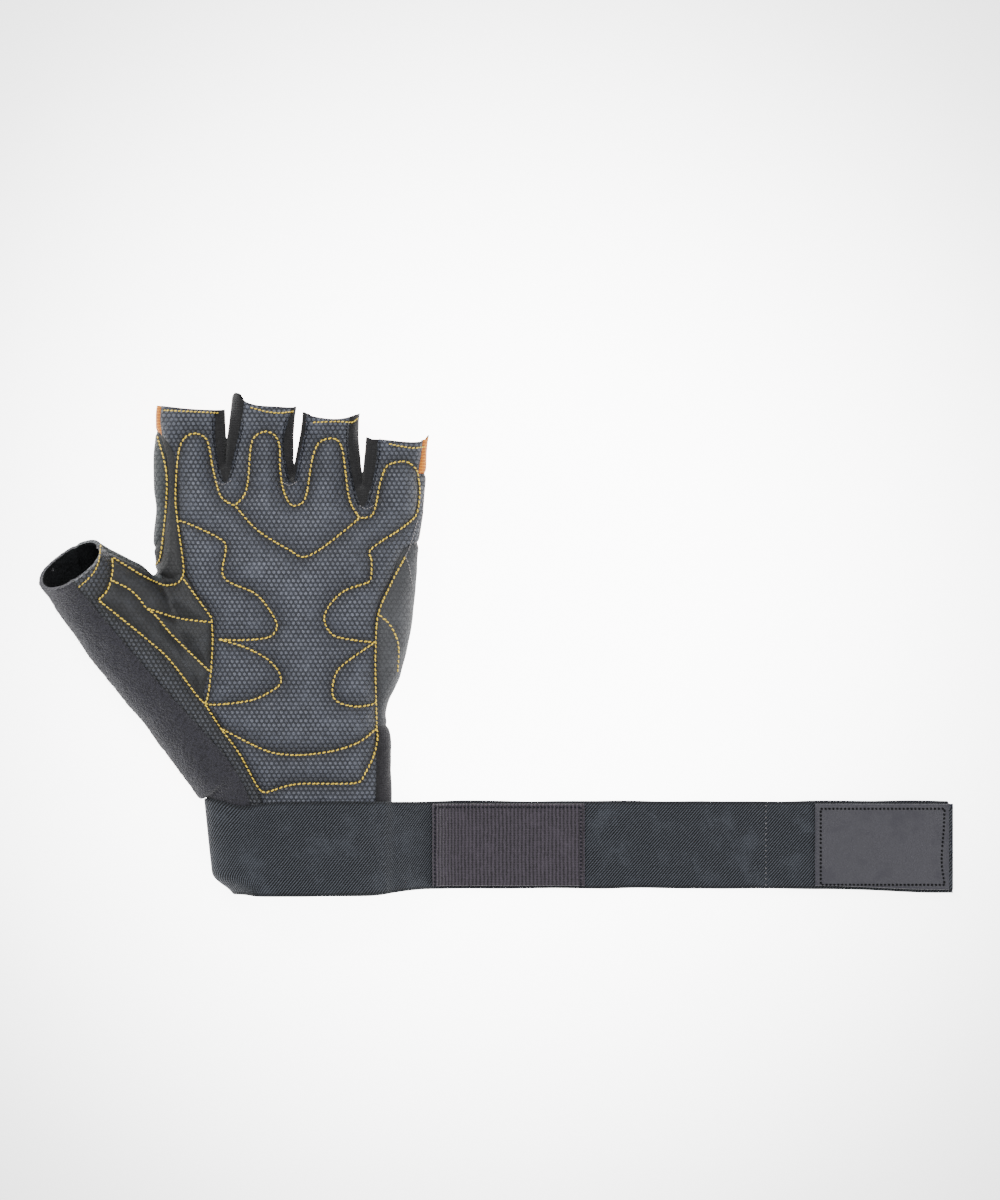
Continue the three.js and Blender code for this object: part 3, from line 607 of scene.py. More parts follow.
# Stitch routes over the palm, in millimetres along X and Y
stitchRoutes = {
    "indexLoop": [
        (-48.4, 132.4), (-49.4, 142.3), (-48.4, 159.5), (-47.6, 163.6), (-46.3, 166.5), (-44.3, 168.5),
        (-41.4, 169.3), (-38.5, 168.5), (-36.5, 166.5), (-34, 154.6), (-30.7, 143.5), (-28.3, 141.4),
        (-25, 139.8),
    ],
    "middleRingLoops": [
        (-25, 139.8), (-20.9, 144.7), (-18.4, 164.8), (-17.2, 167.7), (-14.8, 169.5), (-12.3, 170.1),
        (-9.8, 169.3), (-8.2, 167.7), (-7, 164.8), (-6.6, 154.6), (-5.3, 146.4), (-2.9, 141), (-1.2, 139.8),
        (1.2, 140.2), (2.9, 141.4), (4.1, 144.3), (7, 160.7), (9.4, 165.6), (11.9, 166.9), (14.8, 167.3),
        (16.8, 166.5), (18.4, 164), (21.3, 144.3), (22.5, 140.2), (25.8, 134.9),
    ],
    "littleLoopAndRightBlock": [
        (25.8, 134.9), (28.3, 134.9), (30.7, 135.7), (32, 138.2), (34.4, 149.6), (36.9, 155.8),
        (39.4, 157.2), (44.7, 157.8), (47.1, 156.6), (49.2, 154.2), (50, 150.5), (50.4, 146.4),
        (49.6, 138.2), (48.4, 135.3), (42.2, 130), (34.4, 125), (29.9, 120.9), (30.7, 117.7), (30.3, 109.5),
        (29.5, 108.6), (19.7, 105), (14.3, 100), (12.3, 96.8), (11.5, 93.9), (12.3, 90.6), (14.3, 87.7),
        (16, 86.5), (23.8, 84.9), (32.4, 84),
    ],
    "chevron": [
        (-25, 139.8), (-16, 130), (-2.9, 121.8), (3.3, 118.9), (21.7, 131.2), (25.8, 134.9),
    ],
    "leftBlock": [
        (-48, 133.7), (-43.9, 132.4), (-29.1, 124.6), (-28.7, 121.8), (-29.5, 110.7), (-16.4, 103.7),
        (-11.1, 97.6), (-7.8, 91.4), (-8.2, 89), (-9.8, 86.9), (-11.9, 85.9), (-23.4, 84.9), (-31.6, 85.3),
    ],
    "lowerLeftLobe": [
        (-31.6, 85.3), (-20.9, 82), (-11.1, 76.7), (-7, 71.8), (-6.1, 68.5), (-7, 66.4), (-9.8, 64.4),
        (-17.2, 60.7), (-33.6, 58.6), (-37.3, 59),
    ],
    "lowerRightLobe": [
        (32, 84), (18.9, 74.6), (16.8, 72.2), (15.6, 69.3), (14.8, 64.4), (15.6, 61.1), (17.6, 59.4),
        (20.5, 58.4), (24.6, 57.8), (28.7, 58.2), (31.6, 59), (32.8, 60.3),
    ],
    "rightEdge": [
        (44.7, 119.3), (38.9, 108.2), (33.6, 95.5), (32.4, 80.8), (32.8, 48.8),
    ],
    "sideStrip": [
        (33.6, 95.5), (38.1, 91.4), (41, 85.7), (41.8, 82), (41.4, 71.8),
    ],
    "sideEdge": [
        (49.6, 134.1), (45.9, 121.8), (44.7, 119.3), (45.9, 115.6), (47.6, 105.4),
    ],
    "guardLine": [
        (-57, 168.5), (-53.7, 156.6), (-52.9, 148.4), (-55.3, 120.9), (-56.2, 117.3), (-58.2, 115.2),
    ],
    "indexToCrotch": [
        (-48.4, 132.4), (-45.9, 113.6), (-46.3, 110.7),
    ],
    "thumbFront": [
        (-75, 118.9), (-74.6, 113.6), (-76.7, 105.4), (-80.4, 101.3),
    ],
    "thumbTop": [
        (-75, 118.9), (-62.3, 111.1), (-54.1, 107.4), (-51.2, 107.4), (-48.4, 108.2), (-46.3, 110.7),
    ],
    "crotchToPalm": [
        (-46.3, 110.3), (-34.4, 93.9),
    ],
    "thumbRoot": [
        (-34.4, 93.9), (-34, 84.9), (-35.3, 66.4), (-36.5, 60.3), (-37.3, 59),
    ],
    "thumbInnerLeft": [
        (-75.4, 109.5), (-68.1, 105.8), (-64.4, 102.5), (-61.1, 98),
    ],
    "thumbInnerTop": [
        (-61.1, 98), (-48, 93.9), (-34.4, 92.2),
    ],
    "thumbInnerLow": [
        (-61.1, 98), (-57.4, 95.1), (-51.2, 87.7), (-35.3, 72.2),
    ],
    "thumbLowerEdge": [
        (-80.4, 101.3), (-60.3, 84.9), (-52.1, 77.5), (-39.8, 61.5), (-37.3, 59),
    ],
    "palmLowerLeft": [
        (-37.3, 59), (-30.7, 48.8), (-23.4, 38.9), (-14.8, 23.8), (-12.7, 22.5),
    ],
    "palmBottom": [
        (-12.7, 22.5), (-3.7, 25.4), (1.2, 26.2), (24.6, 26.6), (26.6, 27.5),
    ],
    "palmLowerRight": [
        (26.6, 27.5), (31.6, 37.7), (33.2, 45.9), (32.8, 48.8),
    ],
    "heelArc": [
        (-30.7, 48.8), (-11.1, 39.4), (-2.9, 38.1), (3.3, 38.1), (15.6, 39.8), (23.8, 42.4), (27.9, 44.7),
        (32.8, 48.8),
    ],
}
backRoutes = {
    "bandTop": curveThrough([plan(a, b + 0.012) for a, b in seams["bandTop"][1:4]], 0.0005),
    "bandLow": curveThrough([plan(a, b - 0.012) for a, b in seams["bandLow"][1:4]], 0.0005),
    "guard": curveThrough([plan(a - 0.022, b) for a, b in seams["guardBack"][1:7]], 0.0005),
}
hemRoutes = {
    "indexHem": [(-54.5, 178.8), (-44, 178.3), (-32, 177.7)],
    "middleHem": [(-18.9, 180), (-12, 178.2), (-7, 177.7), (-1.2, 178.4)],
    "ringHem": [(6.6, 173.8), (17.6, 174.2), (23, 174), (25, 175.6)],
    "littleHem": [(37.3, 165.2), (42.2, 164.2), (48.4, 163.4), (52.5, 164)],
    "thumbHem": [(-79.5, 123.8), (-80, 117.7), (-82, 112.7), (-85.7, 108.7), (-88.2, 106.6)],
}
routeStep = 0.0004
routeLines = {name: curveThrough([(x * 0.001, y * 0.001) for x, y in points], routeStep)
              for name, points in {**stitchRoutes, **hemRoutes}.items()}


def treeOf(pieces):
    vertices, faces, offset = [], [], 0
    for piece in pieces:
        points = readPoints(piece.data)
        vertices.extend(map(tuple, points))
        faces.extend(tuple(i + offset for i in p.vertices) for p in piece.data.polygons)
        offset += len(points)
    return BVHTree.FromPolygons(vertices, faces)


def drop(tree, line, fromBelow=False):
    # the line laid on the surface, with the surface's normal
    laid = []
    start, way = (-0.05, 1.0) if fromBelow else (0.1, -1.0)
    for x, y in line:
        place, normal = tree.ray_cast(Vector((x, y, start)), Vector((0, 0, way)))[:2]
        if place is not None:
            laid.append((*place, *normal))
    return np.array(laid)


formBvh = BVHTree.FromObject(form, bpy.context.evaluated_depsgraph_get())
quiltRoutes = [name for name in stitchRoutes if name not in ("sideEdge", "sideStrip")]
quilted = np.vstack([drop(formBvh, routeLines[name]) for name in quiltRoutes])[:, :3]

# Seam points are the corners that two panels share, on a grid of 0.005 mm
gridSteps = 200000
counts = {}
for panel in panels.values():
    for key in set(map(tuple, np.round(readPoints(panel.data) * gridSteps).astype(int).tolist())):
        counts[key] = counts.get(key, 0) + 1
seamPoints = np.array([key for key, count in counts.items() if count > 1]) / gridSteps
seamTree = pointTree(seamPoints)
quiltTree = pointTree(quilted)
thumbRim = [rimCentre[:2] + rimAcross[:2] * t for t in np.linspace(-0.014, 0.014, 40)]
rimTree = pointTree([(*point, 0.0) for point in np.vstack([seamLines["rims"], thumbRim])])
print("seam points", len(seamPoints))


surface = {
    "foldSize": 0.013,
    "foldDepth": 0.0006,
    "creaseSize": 0.005,
    "creaseDepth": 0.00022,
    "calmReach": 0.003,
    "backFoldDepth": 0.0005,
    "nubSize": 0.0016,
    "nubDepth": 0.00022,
    "wristEdge": 0.0165,
    "gatherReach": 0.016,
    "gatherPitch": 0.0036,
    "gatherDepth": 0.0006,
    "puckerMillimetres": 3.1,
    "blendHeight": 0.008,
    "lowest": 0.0002,
    "innerDepth": 0.0012,
}


def ridges(point, size, seed):
    return noise.noise(Vector((point[0] / size + seed, point[1] / size, point[2] / size)))


def moveSurface(points, nubby):
    # padded between the stitch lines, sunk at the stitches and seams, with soft folds
    moved, normals, gaps = points.copy(), np.zeros_like(points), np.zeros((len(points), 3))
    blendFrom = edge - 0.002
    for i, point in enumerate(points):
        near = formTree.find_n(point, 3)
        normal = sum((formNormals[index] / (distance + 0.0002) for place, index, distance in near), np.zeros(3))
        normal /= max(np.linalg.norm(normal), 1e-9)
        normals[i] = normal
        seam, stitch = seamTree.find(point)[2], quiltTree.find(point)[2]
        x, y, z = point
        gaps[i] = stitch, seam, rimTree.find((x, y, 0.0))[2]
        onTop = ease(blendFrom, blendFrom + surface["blendHeight"], z)
        shift = -glove["seamSink"] * math.exp(-(seam / glove["seamReach"]) ** 2)
        bulge = glove["quiltDepth"] * (1 - math.exp(-(stitch / glove["quiltReach"]) ** 2)) - glove["quiltBase"]
        shift += onTop * (bulge - glove["stitchSink"] * math.exp(-(stitch / glove["stitchReach"]) ** 2))
        fold = ridges(point, surface["foldSize"], 3.0) * surface["foldDepth"]
        fold += ridges(point, surface["creaseSize"], 9.0) * surface["creaseDepth"]
        shift += onTop * fold * min(1.0, stitch / surface["calmReach"])
        shift += (1 - onTop) * ridges(point, surface["foldSize"], 5.0) * surface["backFoldDepth"]
        wrist = max(0.0, 1 - max(0.0, y - surface["wristEdge"]) / surface["gatherReach"])
        swing = x * 1000 / surface["puckerMillimetres"] + 1.7 * math.sin(x * 90)
        pucker = math.sin(swing) * surface["gatherDepth"] * wrist ** 1.5
        shift += onTop * pucker * ease(-0.03, -0.015, x) * ease(0.035, 0.025, x)
        shift += (1 - onTop) * abs(math.sin(x / surface["gatherPitch"])) * surface["gatherDepth"] * wrist
        if nubby:
            shift += ridges(point, surface["nubSize"], 1.0) * surface["nubDepth"] * min(1.0, seam / 0.002)
        moved[i] = point + normal * shift
    moved[:, 2] = np.maximum(moved[:, 2], surface["lowest"])
    return moved, normals, gaps


def mapPlaces(mesh):
    # each face gets its place in the plane that it faces most, in metres
    layer = mesh.uv_layers.new(name="place")
    loops = np.array([(loop, *p.normal) for p in mesh.polygons for loop in p.loop_indices])
    vertexOf = np.empty(len(mesh.loops), dtype=np.int32)
    mesh.loops.foreach_get("vertex_index", vertexOf)
    order = loops[:, 0].astype(int)
    points = readPoints(mesh)[vertexOf[order]]
    nx, ny, nz = np.abs(loops[:, 1:]).T
    flat, sideways = nz >= 0.55, nx >= ny
    u = np.where(flat | ~sideways, points[:, 0], points[:, 2])
    v = np.where(flat | sideways, points[:, 1], points[:, 2])
    values = np.empty((len(mesh.loops), 2))
    values[order] = np.stack([u, v], axis=1)
    layer.data.foreach_set("uv", values.ravel())


# how strongly the hexagons are pressed into the plainer leathers
leatherPlain = {
    "thumb_palm_panel": 0.22,
    "crotch_gusset": 0.25,
    "side_strip_little": 0.4,
    "index_guard": 0.7,
}


def storeGap(mesh, name, values):
    layer = mesh.attributes.new(name, "FLOAT", "POINT")
    layer.data.foreach_set("value", np.minimum(values * 1000, 20.0))


def beyondLine(points, line):
    # 1 on the left of a line in plan, 0 on its right, with a soft edge
    tree = pointTree([(*point, 0.0) for point in line])
    sides = np.empty(len(points))
    for i, point in enumerate(points):
        index, distance = tree.find((point[0], point[1], 0.0))[1:]
        index = min(max(index, 1), len(line) - 2)
        way = line[index + 1] - line[index - 1]
        off = point[:2] - line[index]
        sides[i] = math.copysign(distance, way[0] * off[1] - way[1] * off[0])
    return smoothStep(-0.0004, 0.0004, sides)


thumbEdge = curveThrough(np.array(stitchRoutes["thumbFront"][1:-1] + stitchRoutes["thumbLowerEdge"]
                                  + stitchRoutes["palmLowerLeft"][1:]) * 0.001, 0.0008)
for name, panel in panels.items():
    mesh = panel.data
    emboss = np.full(len(mesh.vertices), leatherPlain.get(name, 1.0))
    if name == "thumb_palm_panel":
        emboss += (1 - emboss) * (1 - beyondLine(readPoints(mesh), thumbEdge))
    storeGap(mesh, "emboss", emboss * 0.001)
    # faces inside, which get the second material, are told apart before the points move
    deep = np.array([formTree.find(point)[2] > surface["innerDepth"] for point in readPoints(mesh)])
    moved, normals, gaps = moveSurface(readPoints(mesh), name == "thumb_terry_panel")
    writePoints(mesh, moved)
    mesh.set_sharp_from_angle(angle=math.radians(50))
    for column, layerName in enumerate(("stitchGap", "seamGap", "rimGap")):
        storeGap(mesh, layerName, gaps[:, column])
    mapPlaces(mesh)
    inwards = [deep[list(p.vertices)].all() or np.dot(p.normal, normals[p.vertices[0]]) < -0.3
               for p in mesh.polygons]
    mesh.materials.clear()
    mesh.materials.append(None)
    mesh.materials.append(None)
    mesh.polygons.foreach_set("material_index", np.array(inwards, dtype=np.int32))
print("surface moved", sum(len(p.data.vertices) for p in panels.values()))


# Stitches: short capsules laid along a line on the surface, each a little aslant as twisted thread is

thread = {
    "pitch": 0.00185,
    "length": 0.00160,
    "radius": 0.00034,
    "lift": 0.00010,
    "slant": 0.24,
    "slantSpread": 0.06,
    "radiusRange": (0.93, 1.07),
    "lengthRange": (0.94, 1.06),
    "flatness": 0.8,
    "sag": 1.1,
}


def capsule(sides, rings):
    points, faces = [(0, 0, -0.5)], []
    for r in range(1, rings):
        t = r / rings
        size = math.sin(math.pi * t) ** 0.55
        for i in range(sides):
            angle = i / sides * 2 * math.pi
            points.append((math.cos(angle) * size, math.sin(angle) * size, -math.cos(math.pi * t) / 2))
    points.append((0, 0, 0.5))
    for i in range(sides):
        j = (i + 1) % sides
        faces.append((0, 1 + j, 1 + i))
        for r in range(rings - 2):
            a, b = 1 + r * sides, 1 + (r + 1) * sides
            faces.append((a + i, a + j, b + j, b + i))
        last = 1 + (rings - 2) * sides
        faces.append((last + i, last + j, len(points) - 1))
    return np.array(points), faces


def stitchMesh(name, lines, size=1.0, pitch=None, slant=None, thick=1.0):
    shape, shapeFaces = capsule(7, 5)
    pitch = pitch or thread["pitch"] * size
    slant = thread["slant"] if slant is None else slant
    vertices, faces, places = [], [], []
    for laid in lines:
        if len(laid) < 4:
            continue
        run = runAlong(laid[:, :3])
        count = max(1, int(run[-1] / pitch))
        for place in (np.arange(count) + 0.5) * run[-1] / count:
            i = min(int(np.searchsorted(run, place)), len(laid) - 1)
            low, high = max(i - 2, 0), min(i + 2, len(laid) - 1)
            way = laid[high, :3] - laid[low, :3]
            if np.linalg.norm(way) < 1e-6 or np.linalg.norm(way) > 0.006:
                continue
            normal = laid[low:high + 1, 3:].mean(axis=0)
            normal /= np.linalg.norm(normal)
            way -= normal * (way @ normal)
            way /= np.linalg.norm(way)
            side = np.cross(normal, way)
            turn = slant + numbers.normal(0, thread["slantSpread"])
            cosine, sine = math.cos(turn), math.sin(turn)
            way, side = way * cosine + side * sine, side * cosine - way * sine
            centre = laid[i, :3] + normal * thread["lift"]
            radius = thread["radius"] * size * thick * numbers.uniform(*thread["radiusRange"])
            length = thread["length"] * size * numbers.uniform(*thread["lengthRange"])
            sag = shape[:, 2:3] ** 2 * -thread["sag"] * radius
            base = len(vertices)
            vertices.extend(centre + shape[:, 0:1] * side * radius
                            + shape[:, 1:2] * normal * radius * thread["flatness"]
                            + shape[:, 2:3] * way * length + sag * normal)
            shade = numbers.uniform()
            places.extend((z, shade) for z in shape[:, 2])
            faces.extend(tuple(base + f for f in face) for face in shapeFaces)
    made = addObject(name, vertices, faces)
    layer = made.data.uv_layers.new(name="thread")
    for loop in made.data.loops:
        layer.data[loop.index].uv = places[loop.vertex_index]
    return made


stitches = {}


def sew(name, lines, *sizes):
    stitches[name] = stitchMesh(name, lines, *sizes)


surfaceTree = treeOf(panels.values())
sew("palm_stitches", [drop(surfaceTree, routeLines[name]) for name in stitchRoutes if name != "sideEdge"])
sew("hem_stitches", [drop(surfaceTree, routeLines[name]) for name in hemRoutes], 0.85)
sew("back_stitches", [drop(surfaceTree, line, True) for line in backRoutes.values()], 0.8)
forkLines, crotchLines = [], []
for name, middle in (("indexMiddle", -0.263), ("middleRing", -0.010), ("ringLittle", 0.251)):
    line = seamLines[name]
    side = np.sign(line[:, 0] - middle * width)
    line = line + np.stack([side * 0.0011, np.zeros(len(line))], axis=1)
    inside = line[:, 1] < plan(0, 0.935)[1]
    for half in (side < 0, side > 0):
        forkLines.append(drop(surfaceTree, curveThrough(line[half & inside][::2], routeStep)))
    low = line[np.argmin(line[:, 1])]
    bow = [low + offset for offset in ((-0.0032, 0.0002), (0, -0.0013), (0.0032, 0.0002))]
    crotchLines.append(drop(surfaceTree, curveThrough(bow, routeStep)))
sew("fourchette_stitches", forkLines, 0.62)
sew("crotch_stitches", crotchLines, 0.6)
sew("side_stitches", [drop(surfaceTree, routeLines["sideEdge"])], 0.7)
print("stitches", sum(len(piece.data.polygons) for piece in stitches.values()))


# The strap, along the same line as its solid

strap = {
    "width": 0.038,
    "thickness": 0.0018,
    "reach": 0.306,
    "fall": 0.036,
    "loopStart": 0.092,
    "loopLength": 0.063,
    "loopThickness": 0.0012,
    "endLength": 0.055,
    "endThickness": 0.0014,
    "tapeLength": 0.078,
    "tapeThickness": 0.0012,
    "margin": 0.0012,
    "gap": 0.0003,
    "foldSlant": 0.0042,
    "foldCorner": 0.0075,
    "foldRise": 0.0014,
    "foldDip": 0.0024,
    "edgeWave": 0.00045,
    "faceWave": 0.00018,
    "patchWave": 0.00012,
    "patchRim": 0.002,
    "narrowing": 0.0020,
    "edgeBow": 0.0010,
    "raggedFrom": 0.261,
    "raggedReach": 0.006,
    "raggedWave": 0.0009,
    "raggedTooth": 0.0007,
    "raggedCorner": 0.0022,
}
strapHalf = strap["width"] / 2


def strapLine():
    # from under the wrist, round the thumb's side and over the top, then down and along the surface
    grow = 2 * strap["gap"] + strap["thickness"] / 2
    left, right, top = bodyRows[0][1:4]
    above = top * glove["palmThickness"] - widest + grow
    below = widest * glove["belowWidest"] - glove["wristLift"] + grow
    sides = 48
    ring = section(((left + right) / 2 * width, 0, widest), (1, 0, 0), (0, 0, 1),
                   (right - left) / 2 * width + grow, above, below, strap["thickness"] / 2,
                   sides, glove["palmSquareness"])
    line = [tuple(ring[(sides + 40 - step) % sides][::2]) for step in range(37)]
    fold = min(x for x, z in line)
    end = fold + strap["reach"]
    topX, topZ = line[-1]
    for step in range(1, 13):
        t = (step / 12 + 0.35) / 1.35
        line.append((topX + step / 12 * strap["fall"],
                     topZ - (topZ - strap["thickness"] / 2) * t ** 3 * (t * (t * 6 - 15) + 10)))
    flat = strap["thickness"] / 2
    rise = strap["tapeThickness"] + strap["gap"]
    tape = end - strap["tapeLength"]
    line += [(x, flat) for x in np.arange(topX + strap["fall"] + 0.006, tape - 0.012, 0.008)]
    line += [(tape - 0.008, flat), (tape - 0.005, flat + rise * 0.3), (tape - 0.003, flat + rise * 0.7)]
    line += [(x, flat + rise) for x in np.arange(tape, end - 0.004, 0.008)] + [(end, flat + rise)]
    return curveThrough(line, 0.0009), fold, end


def bandMesh(name, line, offset, thickness, across, shape=None):
    # a flat band along a line in the XZ plane; its map holds the run along it and the place across it
    sideways = np.gradient(line, axis=0)
    sideways /= np.linalg.norm(sideways, axis=1)[:, None]
    normals = np.stack([-sideways[:, 1], sideways[:, 0]], axis=1)
    run = runAlong(line)
    rounding = thickness / 2
    half = across / 2
    flats = np.linspace(-half + rounding, half - rounding, max(8, int(across / 0.0009)))
    turn = np.linspace(math.pi / 2, -math.pi / 2, 7)[1:-1]
    profile = [(y, rounding) for y in flats]
    profile += [(half - rounding + math.cos(a) * rounding, math.sin(a) * rounding) for a in turn]
    profile += [(y, -rounding) for y in flats[::-1]]
    profile += [(-half + rounding - math.cos(a) * rounding, -math.sin(a) * rounding) for a in turn]
    size, ends = len(profile), len(line) - 1
    vertices, places = [], []
    for i, (point, normal) in enumerate(zip(line, normals)):
        shrink = {0: 0.35, 1: 0.85}.get(min(i, ends - i), 1.0)
        for y, h in profile:
            x, place, z, lift = point[0], y, point[1], offset + h * shrink
            if shape:
                x, place, lift = shape(point[0], y, lift, run[i], h > 0)
            vertices.append((x + normal[0] * lift, place, z + normal[1] * lift))
            places.append((run[i], y))
    faces = []
    for i in range(ends):
        for j in range(size):
            k = (j + 1) % size
            faces.append((i * size + j, i * size + k, (i + 1) * size + k, (i + 1) * size + j))
    faces.append(tuple(reversed(range(size))))
    faces.append(tuple(ends * size + j for j in range(size)))
    made = addObject(name, vertices, faces)
    layer = made.data.uv_layers.new(name="place")
    for loop in made.data.loops:
        layer.data[loop.index].uv = places[loop.vertex_index]
    faceOutwards(made)
    made.data.set_sharp_from_angle(angle=math.radians(60))
    return made


def stretchOf(line, start, finish):
    first = max(i for i, (x, z) in enumerate(line) if x <= start)
    last = max(i for i, (x, z) in enumerate(line) if x <= finish)
    return line[first:last + 1]


def onTop(thickness):
    return strap["thickness"] / 2 + strap["gap"] + thickness / 2


def narrowed(x, y):
    # the elastic is a little narrower where it lies free, and its lower edge bows
    free = ease(0.03, 0.055, x) * (1 - 0.8 * ease(0.215, 0.262, x))
    low = (strapHalf - y) / strap["width"]
    return y + low * (strap["narrowing"] * free - strap["edgeBow"] * math.exp(-((x - 0.002) / 0.03) ** 2))


def strapShape(x, y, lift, run, isTop):
    # the fold on the thumb's side runs aslant, the edges are a little wavy
    folded = ease(-0.012, -0.036, x)
    corner = ease(-0.009, -strapHalf, y)
    edgeShare = abs(y) / strapHalf
    dip = strap["foldDip"] * math.exp(-((x + 0.0225) / 0.009) ** 2) * ease(-0.004, strapHalf, y)
    wave = noise.noise(Vector((run / 0.022, y / 0.05, 2.0))) * strap["edgeWave"] * edgeShare ** 2
    rise = folded * strap["foldRise"] * ease(0.0, strapHalf, y)
    placed = narrowed(x, y) + wave + rise - (dip if run > 0.05 else 0.0)
    x += folded * (strap["foldSlant"] * (strapHalf - y) / strap["width"] + strap["foldCorner"] * corner ** 1.5)
    past = x - strap["raggedFrom"]
    if past > 0:
        tooth = strap["raggedTooth"] * noise.noise(Vector((y / 0.004, 1.0, 5.0)))
        ragged = -strap["raggedWave"] * math.cos(y / 0.012) + tooth
        ragged -= strap["raggedCorner"] * ease(0.0150, strapHalf, y)
        x += ragged * min(1.0, past / strap["raggedReach"])
    if isTop and run > 0.11:
        wave = noise.noise(Vector((run / 0.03, placed / 0.02, 4.0))) + 0.3
        lift += wave * strap["faceWave"] * (1 - edgeShare ** 4)
    return x, placed, lift


def tapeShape(x, y, lift, run, isTop):
    return x, narrowed(x, y), lift


def patchShape(x, y, lift, run, isTop):
    if isTop:
        rim = min(strapHalf - strap["margin"] - abs(y), strap["patchRim"]) / strap["patchRim"]
        lift += strap["patchWave"] * rim + noise.noise(Vector((x / 0.02, y / 0.012, 8.0))) * strap["patchWave"]
    return x + noise.noise(Vector((y / 0.01, 3.0, x))) * 0.0002, narrowed(x, y), lift


line, fold, freeEnd = strapLine()
patchWidth = strap["width"] - 2 * strap["margin"]
loopStart = fold + strap["loopStart"]
endStart = freeEnd - strap["margin"] - strap["endLength"]
tapeStart = freeEnd - strap["tapeLength"]
strapPiece = bandMesh("strap_elastic", line, 0, strap["thickness"], strap["width"], strapShape)
loopPiece = bandMesh("loop_pile_patch", stretchOf(line, loopStart, loopStart + strap["loopLength"]),
                     onTop(strap["loopThickness"]), strap["loopThickness"], patchWidth, patchShape)
endPiece = bandMesh("end_synthetic_patch", stretchOf(line, endStart, endStart + strap["endLength"]),
                    onTop(strap["endThickness"]), strap["endThickness"], patchWidth, patchShape)
tapeLine = np.array([(x, strap["tapeThickness"] / 2) for x in np.arange(tapeStart, freeEnd, 0.001)])
tapePiece = bandMesh("hook_tape_strip", tapeLine, 0, strap["tapeThickness"], patchWidth, tapeShape)


def frameRoute(x0, x1, y0, y1, bow=0.0):
    bowed = [(x1, y0), (x1 - bow, y0 * 0.45 + y1 * 0.05), (x1 - bow * 0.3, y1 * 0.5), (x1, y1)]
    return [[(x0, y0), (x1, y0)], bowed, [(x1, y1), (x0, y1)], [(x0, y1), (x0, y0)]]


strapTree = treeOf([strapPiece, loopPiece, endPiece])
halfPatch = patchWidth / 2
inset = {
    "endNear": 0.0018,
    "endFar": 0.0024,
    "endLow": 0.0024,
    "endHigh": 0.0020,
    "endBow": 0.0012,
    "loopEnds": 0.0016,
    "loopSides": 0.0014,
    "tape": 0.0012,
}
endFrame = frameRoute(endStart + inset["endNear"], endStart + strap["endLength"] - inset["endFar"],
                      -halfPatch + inset["endLow"], halfPatch - inset["endHigh"], inset["endBow"])
loopFrame = frameRoute(loopStart + inset["loopEnds"], loopStart + strap["loopLength"] - inset["loopEnds"],
                       -halfPatch + inset["loopSides"], halfPatch - inset["loopSides"])
tapeRoute = [[(tapeStart + inset["tape"], -halfPatch), (tapeStart + inset["tape"], halfPatch)]]


def layRoutes(routes):
    return [drop(strapTree, curveThrough(route, routeStep)) for route in routes]


sew("end_patch_stitches", layRoutes(endFrame), 0.66, 0.00158, 0.05, 2.2)
sew("loop_patch_stitches", layRoutes(loopFrame), 0.6, 0.0015, 0.05, 2.0)
sew("strap_stitches", layRoutes(tapeRoute), 0.5, 0.0022)
print("strap made")


# Loose fibres that stand up from the terry cloth

fibre = {
    "count": 2600,
    "length": 0.0011,
    "radius": 0.000055,
    "lengthRange": (0.3, 1.0),
    "rootDepth": 0.0001,
    "spread": 0.75,
    "bend": 0.5,
}


def fibreMesh(name, panel, count):
    mesh = panel.data
    outer = [p for p in mesh.polygons if p.material_index == 0]
    areas = np.array([p.area for p in outer])
    picked = numbers.choice(len(outer), size=count, p=areas / areas.sum())
    vertices, faces = [], []
    for index in picked:
        face = outer[index]
        root = np.array(face.center) - np.array(face.normal) * fibre["rootDepth"]
        way = np.array(face.normal) + numbers.normal(0, fibre["spread"], 3)
        way /= np.linalg.norm(way)
        bend = numbers.normal(0, fibre["bend"], 3)
        side = np.cross(way, (0.3, 0.5, 0.8))
        side /= np.linalg.norm(side)
        other = np.cross(way, side)
        length = fibre["length"] * numbers.uniform(*fibre["lengthRange"])
        base = len(vertices)
        for share, size in ((0.0, 1.0), (0.5, 0.8)):
            middle = root + way * length * share + bend * length * share ** 2
            for angle in (0.0, 2.094, 4.189):
                out = side * math.cos(angle) + other * math.sin(angle)
                vertices.append(middle + out * fibre["radius"] * size)
        vertices.append(root + way * length + bend * length)
        faces.append((base, base + 2, base + 1))
        for i in range(3):
            j = (i + 1) % 3
            faces.append((base + i, base + j, base + 3 + j, base + 3 + i))
            faces.append((base + 3 + i, base + 3 + j, base + 6))
    return addObject(name, vertices, faces)


terryFibres = fibreMesh("terry_fibres", panels["thumb_terry_panel"], fibre["count"])
print("fibres made")


# Node helpers

def put(tree, kind, values=None, **settings):
    made = tree.nodes.new(kind)
    for key, value in settings.items():
        setattr(made, key, value)
    for key, value in (values or {}).items():
        if isinstance(value, bpy.types.NodeSocket):
            tree.links.new(value, made.inputs[key])
        else:
            made.inputs[key].default_value = value
    return made


def calc(tree, operation, *values):
    return put(tree, "ShaderNodeMath", dict(enumerate(values)), operation=operation).outputs[0]


def times(tree, first, second):
    return calc(tree, "MULTIPLY", first, second)


def plus(tree, first, second):
    return calc(tree, "ADD", first, second)


def remap(tree, value, low, high, toLow=0.0, toHigh=1.0):
    made = put(tree, "ShaderNodeMapRange", {0: value, 1: low, 2: high, 3: toLow, 4: toHigh},
               interpolation_type="SMOOTHSTEP")
    return made.outputs[0]


def mixColor(tree, share, first, second):
    return put(tree, "ShaderNodeMix", {0: share, 6: first, 7: second}, data_type="RGBA").outputs[2]


